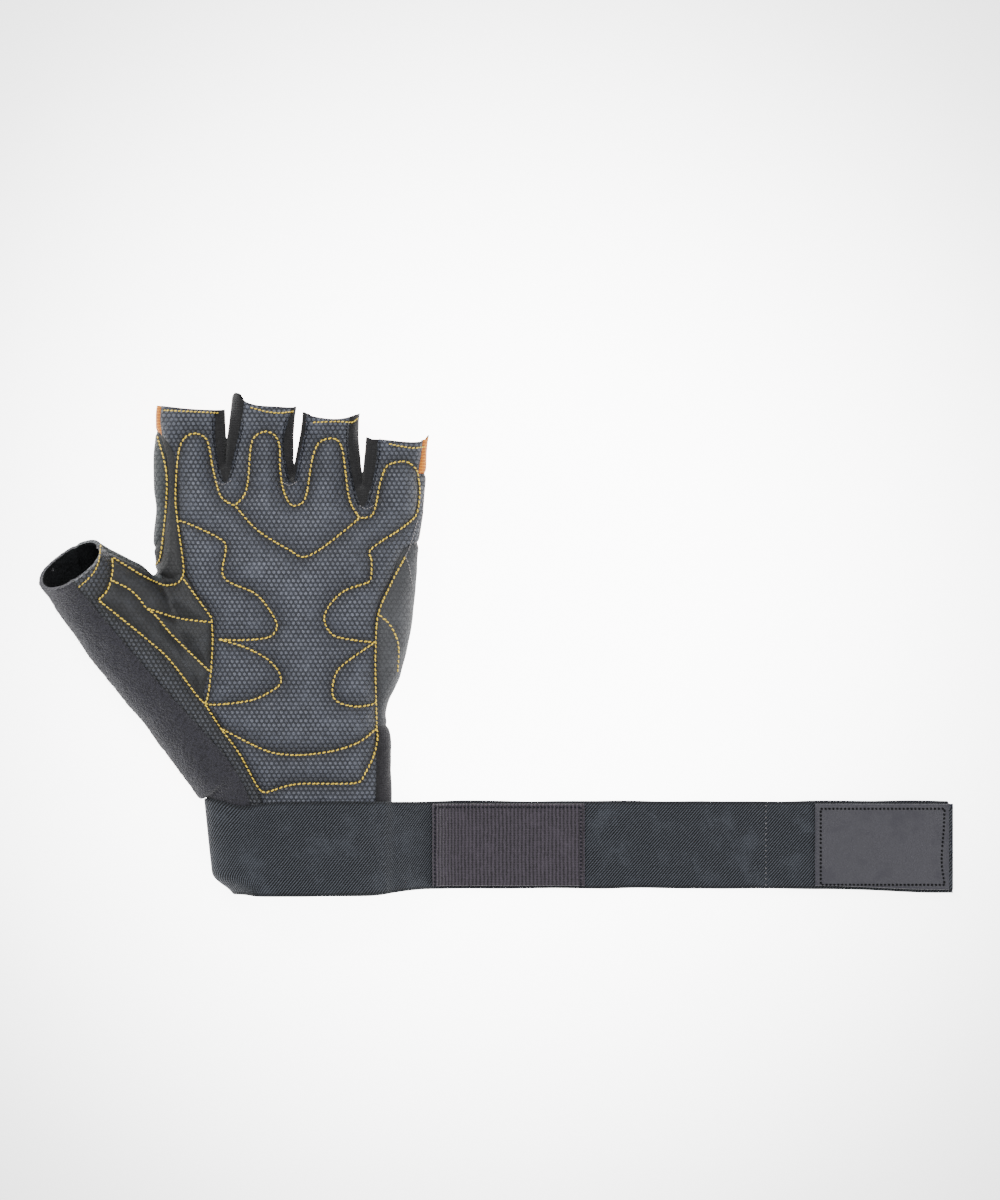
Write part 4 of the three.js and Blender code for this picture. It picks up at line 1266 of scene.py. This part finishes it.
def tint(tree, base, mask, share, color):
    # the base with a share of another colour where the mask is 1
    return mixColor(tree, times(tree, mask, share), base, color)


def noiseValue(tree, place, size, detail=2.0, roughness=0.5):
    made = put(tree, "ShaderNodeTexNoise", {"Vector": place, "Scale": 1.0 / size, "Detail": detail,
                                            "Roughness": roughness})
    return made.outputs[0]


def nodeGroup(name, inputs, outputs):
    tree = bpy.data.node_groups.new(name, "ShaderNodeTree")
    for socketName, value in inputs:
        kind = "NodeSocketVector" if value is None else "NodeSocketFloat"
        socket = tree.interface.new_socket(socketName, in_out="INPUT", socket_type=kind)
        if value is not None:
            socket.default_value = value
    for socketName in outputs:
        tree.interface.new_socket(socketName, in_out="OUTPUT", socket_type="NodeSocketFloat")
    start = tree.nodes.new("NodeGroupInput")
    finish = tree.nodes.new("NodeGroupOutput")
    return tree, start.outputs, finish.inputs


def useGroup(tree, group, values):
    return put(tree, "ShaderNodeGroup", values, node_tree=group).outputs


def split(tree, place):
    made = put(tree, "ShaderNodeSeparateXYZ", {0: place})
    return made.outputs[0], made.outputs[1]


# Shared effects. Sizes are in metres.

def sized(tree, given):
    # the position, counted in sizes of the effect
    scale = calc(tree, "DIVIDE", 1.0, given["Size"])
    made = put(tree, "ShaderNodeVectorMath", {0: given["Position"], "Scale": scale}, operation="SCALE")
    return made.outputs[0]


def offMiddle(tree, value, offset):
    # how far a value is from the middle of its cell, in cells
    inCell = calc(tree, "FRACT", plus(tree, value, offset))
    return calc(tree, "ABSOLUTE", calc(tree, "SUBTRACT", inCell, 0.5))


def ripple(tree, value, pitch, turns=1.0):
    # a sine with this many turns in each pitch
    return calc(tree, "SINE", times(tree, calc(tree, "DIVIDE", value, pitch), turns * 2 * math.pi))


def hexEmboss():
    # rows of rounded hexagons, each row half a cell along from the last
    tree, given, gives = nodeGroup("hex emboss", [("Place", None), ("Pitch", 0.002)], ["Cell", "Tone"])
    x, y = split(tree, given["Place"])
    across = calc(tree, "DIVIDE", x, given["Pitch"])
    along = calc(tree, "DIVIDE", y, times(tree, given["Pitch"], math.sqrt(3)))
    distances = []
    for offset in (0.0, 0.5):
        a = offMiddle(tree, across, offset)
        b = times(tree, offMiddle(tree, along, offset), math.sqrt(3))
        aslant = plus(tree, times(tree, a, 0.5), times(tree, b, math.sqrt(3) / 2))
        distances.append(calc(tree, "MAXIMUM", a, aslant))
    nearest = calc(tree, "MINIMUM", *distances)
    tree.links.new(remap(tree, nearest, 0.5, 0.22), gives["Cell"])
    spots = noiseValue(tree, given["Place"], 0.0022, 1.0)
    tree.links.new(remap(tree, spots, 0.3, 0.7), gives["Tone"])
    return tree


def leatherGrain():
    tree, given, gives = nodeGroup("leather grain", [("Position", None), ("Size", 0.0006)], ["Height", "Tone"])
    scaled = sized(tree, given)
    cells = put(tree, "ShaderNodeTexVoronoi", {"Vector": scaled, "Scale": 1.0}, feature="F1")
    pebbles = remap(tree, cells.outputs["Distance"], 0.75, 0.15)
    fine = put(tree, "ShaderNodeTexNoise", {"Vector": scaled, "Scale": 2.3, "Detail": 3.0}).outputs[0]
    height = plus(tree, times(tree, pebbles, 0.7), times(tree, fine, 0.5))
    tree.links.new(height, gives["Height"])
    broad = noiseValue(tree, given["Position"], 0.018, 3.0)
    tree.links.new(remap(tree, broad, 0.3, 0.7), gives["Tone"])
    return tree


def stitchValley():
    # painted shade: dark close to the line that Distance is measured from, fading out over Reach millimetres
    tree, given, gives = nodeGroup("painted line shade", [("Distance", 10.0), ("Reach", 3.0)], ["Shadow"])
    share = calc(tree, "DIVIDE", given["Distance"], given["Reach"])
    fall = times(tree, calc(tree, "POWER", share, 1.4), -1.0)
    tree.links.new(calc(tree, "EXPONENT", fall), gives["Shadow"])
    return tree


def ribWeave():
    # raised ribs along the first axis, each broken into small loops
    tree, given, gives = nodeGroup("rib weave", [("Place", None), ("Pitch", 0.0008), ("Loop", 0.0005)],
                                   ["Height", "Tone"])
    x, y = split(tree, given["Place"])
    wobble = times(tree, noiseValue(tree, given["Place"], 0.004, 2.0), 0.0006)
    rib = ripple(tree, plus(tree, y, wobble), given["Pitch"])
    loop = ripple(tree, x, given["Loop"])
    height = plus(tree, times(tree, rib, 0.38), times(tree, loop, 0.12))
    tree.links.new(plus(tree, height, 0.5), gives["Height"])
    tree.links.new(remap(tree, noiseValue(tree, given["Place"], 0.0016, 3.0, 0.65), 0.3, 0.7), gives["Tone"])
    return tree


def twillWeave():
    # ribs at a slant, crossed by finer yarns
    tree, given, gives = nodeGroup("twill weave", [("Place", None), ("Pitch", 0.0016), ("Rise", 1.6)],
                                   ["Height", "Tone"])
    x, y = split(tree, given["Place"])
    bend = times(tree, noiseValue(tree, given["Place"], 0.006, 1.0), 0.0005)
    run = calc(tree, "SUBTRACT", times(tree, plus(tree, x, bend), given["Rise"]), y)
    rib = ripple(tree, run, given["Pitch"])
    yarn = ripple(tree, y, given["Pitch"], 1.7)
    height = plus(tree, times(tree, rib, 0.40), times(tree, yarn, 0.10))
    tree.links.new(plus(tree, height, 0.5), gives["Height"])
    tree.links.new(remap(tree, noiseValue(tree, given["Place"], 0.0009, 3.0, 0.7), 0.3, 0.7), gives["Tone"])
    return tree


def pileLoops():
    # small loops of yarn standing close together
    tree, given, gives = nodeGroup("pile loops", [("Position", None), ("Size", 0.0009)], ["Height", "Tone"])
    scaled = sized(tree, given)
    cells = put(tree, "ShaderNodeTexVoronoi", {"Vector": scaled, "Scale": 1.0, "Randomness": 0.9},
                feature="SMOOTH_F1")
    fuzz = put(tree, "ShaderNodeTexNoise", {"Vector": scaled, "Scale": 2.6, "Detail": 4.0,
                                            "Roughness": 0.7}).outputs[0]
    height = plus(tree, remap(tree, cells.outputs["Distance"], 0.8, 0.1), times(tree, fuzz, 0.7))
    tree.links.new(height, gives["Height"])
    tree.links.new(remap(tree, fuzz, 0.3, 0.7), gives["Tone"])
    return tree


def surfaceWear():
    # patches where the surface is rubbed paler, and dust
    tree, given, gives = nodeGroup("surface wear", [("Position", None), ("Size", 0.006)], ["Rubbed", "Dust"])
    scaled = sized(tree, given)
    patches = put(tree, "ShaderNodeTexNoise", {"Vector": scaled, "Scale": 1.0, "Detail": 5.0,
                                               "Roughness": 0.6}).outputs[0]
    tree.links.new(remap(tree, patches, 0.46, 0.72), gives["Rubbed"])
    specks = put(tree, "ShaderNodeTexNoise", {"Vector": scaled, "Scale": 14.0, "Detail": 2.0}).outputs[0]
    tree.links.new(remap(tree, specks, 0.66, 0.78), gives["Dust"])
    return tree


groups = {make.__name__: make() for make in (hexEmboss, leatherGrain, stitchValley, ribWeave, twillWeave,
                                             pileLoops, surfaceWear)}


# Materials

def paint(red, green, blue):
    # a colour given as a screen shows it, from 0 to 255
    return tuple((v / 255 / 12.92 if v <= 10 else ((v / 255 + 0.055) / 1.055) ** 2.4)
                 for v in (red, green, blue)) + (1.0,)


def shaded(color, share):
    return tuple(share * v for v in color[:3]) + (1.0,)


def startLook(name, roughness, **constants):
    made = bpy.data.materials.new(name)
    made.use_nodes = True
    tree = made.node_tree
    tree.nodes.clear()
    shader = put(tree, "ShaderNodeBsdfPrincipled", {"Roughness": roughness})
    for key, value in constants.items():
        shader.inputs[key.replace("_", " ")].default_value = value
    put(tree, "ShaderNodeOutputMaterial", {"Surface": shader.outputs[0]})
    return made, tree, shader, put(tree, "ShaderNodeTexCoord").outputs["Object"]


def mapped(tree, name="place"):
    return put(tree, "ShaderNodeUVMap", uv_map=name).outputs[0]


def gap(tree, name):
    return put(tree, "ShaderNodeAttribute", attribute_name=name).outputs["Fac"]


def shadowNear(tree, distance, reach):
    return useGroup(tree, groups["stitchValley"], {"Distance": distance, "Reach": reach})["Shadow"]


def setColor(tree, shader, color):
    tree.links.new(color, shader.inputs["Base Color"])


def setBump(tree, shader, height, distance, strength=1.0):
    bump = put(tree, "ShaderNodeBump", {"Height": height, "Distance": distance, "Strength": strength})
    tree.links.new(bump.outputs[0], shader.inputs["Normal"])


cloth = {
    "ribPitch": 0.00125,
    "ribLoop": 0.0009,
    "ribDepth": 0.00028,
    "knitPitch": 0.0007,
    "knitDepth": 0.00015,
    "rowPitch": 0.00156,
    "rowLoop": 0.00105,
    "rowPile": 0.0006,
    "rowDepth": 0.0004,
    "selvedgeFrom": 0.0172,
    "selvedgeTo": 0.0182,
}


def loopRowsLook(name, color, dark):
    # rows of small loops that run across the strap
    made, tree, shader, position = startLook(name, 0.95, Sheen_Weight=0.25, Sheen_Roughness=0.6,
                                             Specular_IOR_Level=0.2)
    x, y = split(tree, mapped(tree))
    turned = put(tree, "ShaderNodeCombineXYZ", {0: y, 1: x}).outputs[0]
    rows = useGroup(tree, groups["ribWeave"],
                    {"Place": turned, "Pitch": cloth["rowPitch"], "Loop": cloth["rowLoop"]})
    pile = useGroup(tree, groups["pileLoops"], {"Position": position, "Size": cloth["rowPile"]})
    wear = useGroup(tree, groups["surfaceWear"], {"Position": position, "Size": 0.006})
    height = plus(tree, rows["Height"], times(tree, pile["Height"], 0.35))
    base = mixColor(tree, remap(tree, height, 0.25, 1.15), dark, color)
    base = tint(tree, base, rows["Tone"], 0.3, dark)
    base = tint(tree, base, wear["Rubbed"], 0.25, shaded(color, 1.35))
    setColor(tree, shader, base)
    tree.links.new(remap(tree, pile["Tone"], 0.0, 1.0, 0.86, 1.0), shader.inputs["Roughness"])
    setBump(tree, shader, height, cloth["rowDepth"])
    return made


leather = {
    "pitch": 0.002,
    "grain": 0.00055,
    "embossDepth": 0.00042,
    # how far the painted shade reaches from the stitches and seams, in millimetres
    "valleyShadeReach": 1.5,
    "hollowShadeReach": 7.0,
    "creaseShadeReach": 0.9,
    "hemWidth": 0.75,
}


def leatherLook(name, groove, top, valleyShadeStrength=0.7, roughness=0.42):
    made, tree, shader, position = startLook(name, roughness, Specular_IOR_Level=0.45)
    place = mapped(tree)
    hexes = useGroup(tree, groups["hexEmboss"], {"Place": place, "Pitch": leather["pitch"]})
    grain = useGroup(tree, groups["leatherGrain"], {"Position": position, "Size": leather["grain"]})
    wear = useGroup(tree, groups["surfaceWear"], {"Position": position, "Size": 0.007})
    stitchGap, seamGap = gap(tree, "stitchGap"), gap(tree, "seamGap")
    # painted shade: darker close to the stitch lines (valley), more broadly towards the stitches over each
    # padded lobe (hollow), and along the seams (crease)
    valley = shadowNear(tree, stitchGap, leather["valleyShadeReach"])
    hollow = shadowNear(tree, stitchGap, leather["hollowShadeReach"])
    creaseShade = shadowNear(tree, seamGap, leather["creaseShadeReach"])
    cell = times(tree, hexes["Cell"], gap(tree, "emboss"))
    lightness = times(tree, cell, remap(tree, hexes["Tone"], 0.0, 1.0, 0.65, 1.15))
    base = mixColor(tree, lightness, groove, top)
    base = tint(tree, base, wear["Rubbed"], 0.22, shaded(top, 1.45))
    toned = tint(tree, base, grain["Tone"], 0.25, shaded(groove, 0.6))
    # the colour of the painted shade in the valleys and along the seams
    paintedShadeColor = shaded(groove, 0.3)
    sunk = tint(tree, toned, hollow, 0.6, groove)
    sunk = mixColor(tree, times(tree, calc(tree, "MAXIMUM", valley, creaseShade), valleyShadeStrength), sunk, paintedShadeColor)
    hem = remap(tree, gap(tree, "rimGap"), leather["hemWidth"], leather["hemWidth"] * 0.6)
    setColor(tree, shader, mixColor(tree, hem, sunk, paint(22, 20, 26)))
    rough = plus(tree, remap(tree, cell, 0.0, 1.0, roughness + 0.2, roughness),
                 times(tree, grain["Height"], 0.08))
    tree.links.new(rough, shader.inputs["Roughness"])
    height = plus(tree, cell, times(tree, grain["Height"], 0.22))
    setBump(tree, shader, height, leather["embossDepth"], 0.9)
    return made


def ribLook(name, color, dark, pitch, loop, depth, seamShade=0.5):
    made, tree, shader, position = startLook(name, 0.85, Sheen_Weight=0.12, Sheen_Roughness=0.5)
    place = mapped(tree)
    weave = useGroup(tree, groups["ribWeave"], {"Place": place, "Pitch": pitch, "Loop": loop})
    wear = useGroup(tree, groups["surfaceWear"], {"Position": position, "Size": 0.012})
    base = mixColor(tree, remap(tree, weave["Height"], 0.1, 0.75), dark, color)
    base = tint(tree, base, weave["Tone"], 0.22, dark)
    base = tint(tree, base, wear["Rubbed"], 0.12, shaded(color, 1.25))
    # painted shade: the cloth is darker close to its seams, by seamShade
    seam = shadowNear(tree, gap(tree, "seamGap"), 1.3)
    setColor(tree, shader, tint(tree, base, seam, seamShade, shaded(dark, 0.35)))
    tree.links.new(remap(tree, weave["Tone"], 0.0, 1.0, 0.78, 0.92), shader.inputs["Roughness"])
    setBump(tree, shader, weave["Height"], depth)
    return made


def knitLook(name, color, dark, *seamShade):
    return ribLook(name, color, dark, cloth["knitPitch"], cloth["knitPitch"], cloth["knitDepth"], *seamShade)


def pileLook(name, color, dark, size, depth, sheen=0.35):
    made, tree, shader, position = startLook(name, 0.95, Sheen_Weight=sheen, Sheen_Roughness=0.6,
                                             Specular_IOR_Level=0.2)
    pile = useGroup(tree, groups["pileLoops"], {"Position": position, "Size": size})
    wear = useGroup(tree, groups["surfaceWear"], {"Position": position, "Size": 0.009})
    base = mixColor(tree, remap(tree, pile["Height"], 0.35, 1.25), dark, color)
    base = tint(tree, base, pile["Tone"], 0.3, shaded(color, 1.5))
    base = tint(tree, base, wear["Rubbed"], 0.25, dark)
    setColor(tree, shader, base)
    tree.links.new(remap(tree, pile["Tone"], 0.0, 1.0, 0.86, 1.0), shader.inputs["Roughness"])
    setBump(tree, shader, pile["Height"], depth)
    return made


def elasticLook(name, color, dark, pitch, depth):
    made, tree, shader, position = startLook(name, 0.8, Sheen_Weight=0.04, Specular_IOR_Level=0.25)
    place = mapped(tree)
    weave = useGroup(tree, groups["twillWeave"], {"Place": place, "Pitch": pitch, "Rise": 1.2})
    wear = useGroup(tree, groups["surfaceWear"], {"Position": position, "Size": 0.010})
    x, y = split(tree, place)
    selvedge = remap(tree, calc(tree, "ABSOLUTE", y), cloth["selvedgeFrom"], cloth["selvedgeTo"])
    base = mixColor(tree, remap(tree, weave["Height"], 0.4, 0.85), dark, color)
    base = tint(tree, base, weave["Tone"], 0.3, dark)
    base = tint(tree, base, wear["Rubbed"], 0.2, shaded(color, 1.3))
    base = tint(tree, base, wear["Dust"], 0.25, paint(72, 64, 72))
    setColor(tree, shader, tint(tree, base, selvedge, 0.55, dark))
    tree.links.new(remap(tree, weave["Tone"], 0.0, 1.0, 0.66, 0.86), shader.inputs["Roughness"])
    setBump(tree, shader, weave["Height"], depth)
    return made


def syntheticLook(name, color, grainSize=0.00045):
    made, tree, shader, position = startLook(name, 0.5, Specular_IOR_Level=0.4)
    grain = useGroup(tree, groups["leatherGrain"], {"Position": position, "Size": grainSize})
    wear = useGroup(tree, groups["surfaceWear"], {"Position": position, "Size": 0.008})
    base = tint(tree, color, grain["Tone"], 0.12, shaded(color, 0.7))
    base = tint(tree, base, wear["Dust"], 0.15, paint(150, 150, 155))
    setColor(tree, shader, base)
    tree.links.new(remap(tree, wear["Rubbed"], 0.0, 1.0, 0.46, 0.58), shader.inputs["Roughness"])
    setBump(tree, shader, grain["Height"], 0.00006)
    return made


def threadLook(name, color, dark, pale, gloss=0.5):
    made, tree, shader, position = startLook(name, 0.5, Sheen_Weight=0.2 * gloss, Specular_IOR_Level=gloss)
    # the crests of the twist are painted paler, a painted highlight; both ends of each stitch are painted
    # darker, a painted shade; and each stitch is a little darker at random
    run, shade = split(tree, mapped(tree, "thread"))
    twist = plus(tree, times(tree, run, 15.0), times(tree, shade, 6.0))
    plies = calc(tree, "SINE", twist)
    ends = remap(tree, calc(tree, "ABSOLUTE", run), 0.28, 0.5)
    base = mixColor(tree, remap(tree, plies, -0.4, 1.0, 0.0, 0.55), color, pale)
    base = tint(tree, base, shade, 0.25, dark)
    setColor(tree, shader, tint(tree, base, ends, 0.75, dark))
    grain = useGroup(tree, groups["leatherGrain"], {"Position": position, "Size": 0.00012})
    tree.links.new(remap(tree, grain["Height"], 0.0, 1.0, 0.42, 0.62), shader.inputs["Roughness"])
    setBump(tree, shader, plus(tree, plies, grain["Height"]), 0.00005)
    return made


palmLeather = leatherLook("embossed palm leather", paint(29, 31, 37), paint(90, 94, 106), 0.75)
thumbLeather = leatherLook("thumb leather", paint(21, 22, 23), paint(68, 71, 80), 0.7)
gussetLeather = leatherLook("gusset leather", paint(22, 23, 24), paint(56, 58, 62), 0.7)
sideLeather = leatherLook("side strip leather", paint(46, 47, 50), paint(84, 86, 90), 0.6)
guardLeather = leatherLook("guard leather", paint(40, 44, 46), paint(72, 77, 80), 0.5)
orangeRib = ribLook("orange ribbed cloth", paint(246, 158, 30), paint(192, 98, 12), cloth["ribPitch"],
                    cloth["ribLoop"], cloth["ribDepth"])
navyKnit = knitLook("navy band cloth", paint(34, 37, 58), paint(20, 22, 38))
forkKnit = knitLook("fourchette cloth", paint(10, 9, 14), paint(4, 4, 7), 0.8)
bindingKnit = knitLook("wrist binding cloth", paint(38, 42, 58), paint(22, 24, 36))
tabKnit = knitLook("wrist tab cloth", paint(24, 21, 29), paint(11, 9, 14), 0.8)
terry = pileLook("terry cloth", paint(41, 40, 48), paint(17, 16, 21), 0.0007, 0.0004, 0.2)
insideLook = pileLook("inside cloth", paint(20, 22, 24), paint(9, 10, 11), 0.0008, 0.0002, 0.0)
strapLook = elasticLook("elastic webbing", paint(74, 78, 86), paint(4, 5, 7), 0.0015, 0.00035)
loopLook = loopRowsLook("loop pile", paint(64, 57, 67), paint(13, 10, 15))
hookLook = pileLook("hook tape", paint(30, 33, 48), paint(14, 16, 26), 0.0006, 0.0003, 0.05)
endLook = syntheticLook("smooth end synthetic", paint(43, 42, 50))
# each thread: its colour, a darker one for the painted shade at the stitch ends and for the random darker
# stitches, and a paler one for its painted highlight
yellowThread = threadLook("yellow thread", paint(246, 204, 22), paint(150, 108, 4), paint(255, 244, 120))
blackThread = threadLook("black thread", paint(8, 8, 11), paint(3, 3, 4), paint(22, 23, 27), 0.1)
greyThread = threadLook("grey thread", paint(120, 116, 118), paint(40, 38, 42), paint(190, 186, 184))
blueThread = threadLook("navy thread", paint(16, 16, 24), paint(6, 6, 10), paint(40, 42, 54), 0.15)

panelLooks = {
    "palm_panel": palmLeather,
    "thumb_palm_panel": thumbLeather,
    "crotch_gusset": gussetLeather,
    "side_strip_little": sideLeather,
    "index_guard": guardLeather,
    "back_upper_panel": orangeRib,
    "back_lower_panel": orangeRib,
    "back_band": navyKnit,
    "fourchette_index_middle": forkKnit,
    "fourchette_middle_ring": forkKnit,
    "fourchette_ring_little": forkKnit,
    "thumb_terry_panel": terry,
    "wrist_binding": bindingKnit,
    "wrist_tab": tabKnit,
}
for name, panel in panels.items():
    panel.data.materials[0] = panelLooks[name]
    panel.data.materials[1] = insideLook
    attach(panel, "root")
    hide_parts(name)
for piece, node, look in ((strapPiece, "wrist_strap", strapLook), (loopPiece, "loop_patch", loopLook),
                          (endPiece, "end_patch", endLook), (tapePiece, "end_hook", hookLook)):
    piece.data.materials.append(look)
    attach(piece, "root")
    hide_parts(node)
stitchLooks = {
    "palm_stitches": (yellowThread, "palm_leather"),
    "hem_stitches": (yellowThread, "palm_leather"),
    "back_stitches": (yellowThread, "guard_leather"),
    "fourchette_stitches": (blackThread, "fourchette_fabric"),
    "crotch_stitches": (greyThread, "fourchette_fabric"),
    "side_stitches": (greyThread, "side_leather"),
    "end_patch_stitches": (blackThread, "end_synthetic"),
    "loop_patch_stitches": (blueThread, "loop_pile"),
    "strap_stitches": (greyThread, "strap_elastic"),
}
for name, piece in stitches.items():
    look, slotName = stitchLooks[name]
    piece.data.materials.append(look)
    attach(piece, "root")
terryFibres.data.materials.append(terry)
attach(terryFibres, "root")
removeObject(form)
print("materials set")


# The floor and the lights

studio = {
    "floorTone": 0.9,
    "floorSize": 8.0,
    "floorDrop": 0.0005,
    "world": 0.8,
    "glow": 2.2,
    "glowMiddle": 10.0,
    "glowEdge": 1.5,
    "glowFrom": 0.06,
    "glowTo": 0.34,
    "keyPower": 9.0,
    "fillPower": 5.0,
    "topPower": 9.0,
}


def floorLook():
    made, tree, shader, position = startLook("pale floor", 0.75, Specular_IOR_Level=0.1)
    cloudy = noiseValue(tree, position, 0.4, 2.0)
    plain = (studio["floorTone"],) * 3 + (1.0,)
    setColor(tree, shader, mixColor(tree, cloudy, plain, shaded(plain, 1.02)))
    # the floor glows though it is no lamp: evenly in the light it casts, and for camera rays far brighter
    # towards the middle, a painted pool of light round the glove
    away = put(tree, "ShaderNodeVectorMath", {0: position}, operation="LENGTH").outputs["Value"]
    shader.inputs["Emission Color"].default_value = (1, 1, 1, 1)
    seen = put(tree, "ShaderNodeLightPath", {}).outputs["Is Camera Ray"]
    glow = remap(tree, away, studio["glowFrom"], studio["glowTo"], studio["glowMiddle"], studio["glowEdge"])
    bright = times(tree, seen, calc(tree, "SUBTRACT", glow, studio["glow"]))
    tree.links.new(plus(tree, bright, studio["glow"]), shader.inputs["Emission Strength"])
    return made


# the floor lies a little under Z = 0, because the strap's fold dips under it
bpy.ops.mesh.primitive_plane_add(size=studio["floorSize"], location=(0.08, 0.1, -studio["floorDrop"]))
floorPiece = bpy.context.object
floorPiece.name = "floor"
floorPiece.data.materials.append(floorLook())


def areaLight(name, place, size, power, target=(0.06, 0.1, 0.0)):
    data = bpy.data.lights.new(name, "AREA")
    data.energy = power
    data.size = size
    made = bpy.data.objects.new(name, data)
    made.location = place
    made.rotation_euler = (Vector(target) - Vector(place)).to_track_quat("-Z", "Y").to_euler()
    bpy.context.scene.collection.objects.link(made)
    return made


areaLight("key", (-0.45, 0.75, 0.9), 0.35, studio["keyPower"])
areaLight("fill", (0.8, -0.4, 0.9), 0.7, studio["fillPower"])
areaLight("top", (0.1, 0.15, 1.5), 0.8, studio["topPower"])
world = bpy.data.worlds.new("world")
world.use_nodes = True
world.node_tree.nodes["Background"].inputs[0].default_value = (1, 1, 1, 1)
world.node_tree.nodes["Background"].inputs[1].default_value = studio["world"]
bpy.context.scene.world = world
print("lights placed")
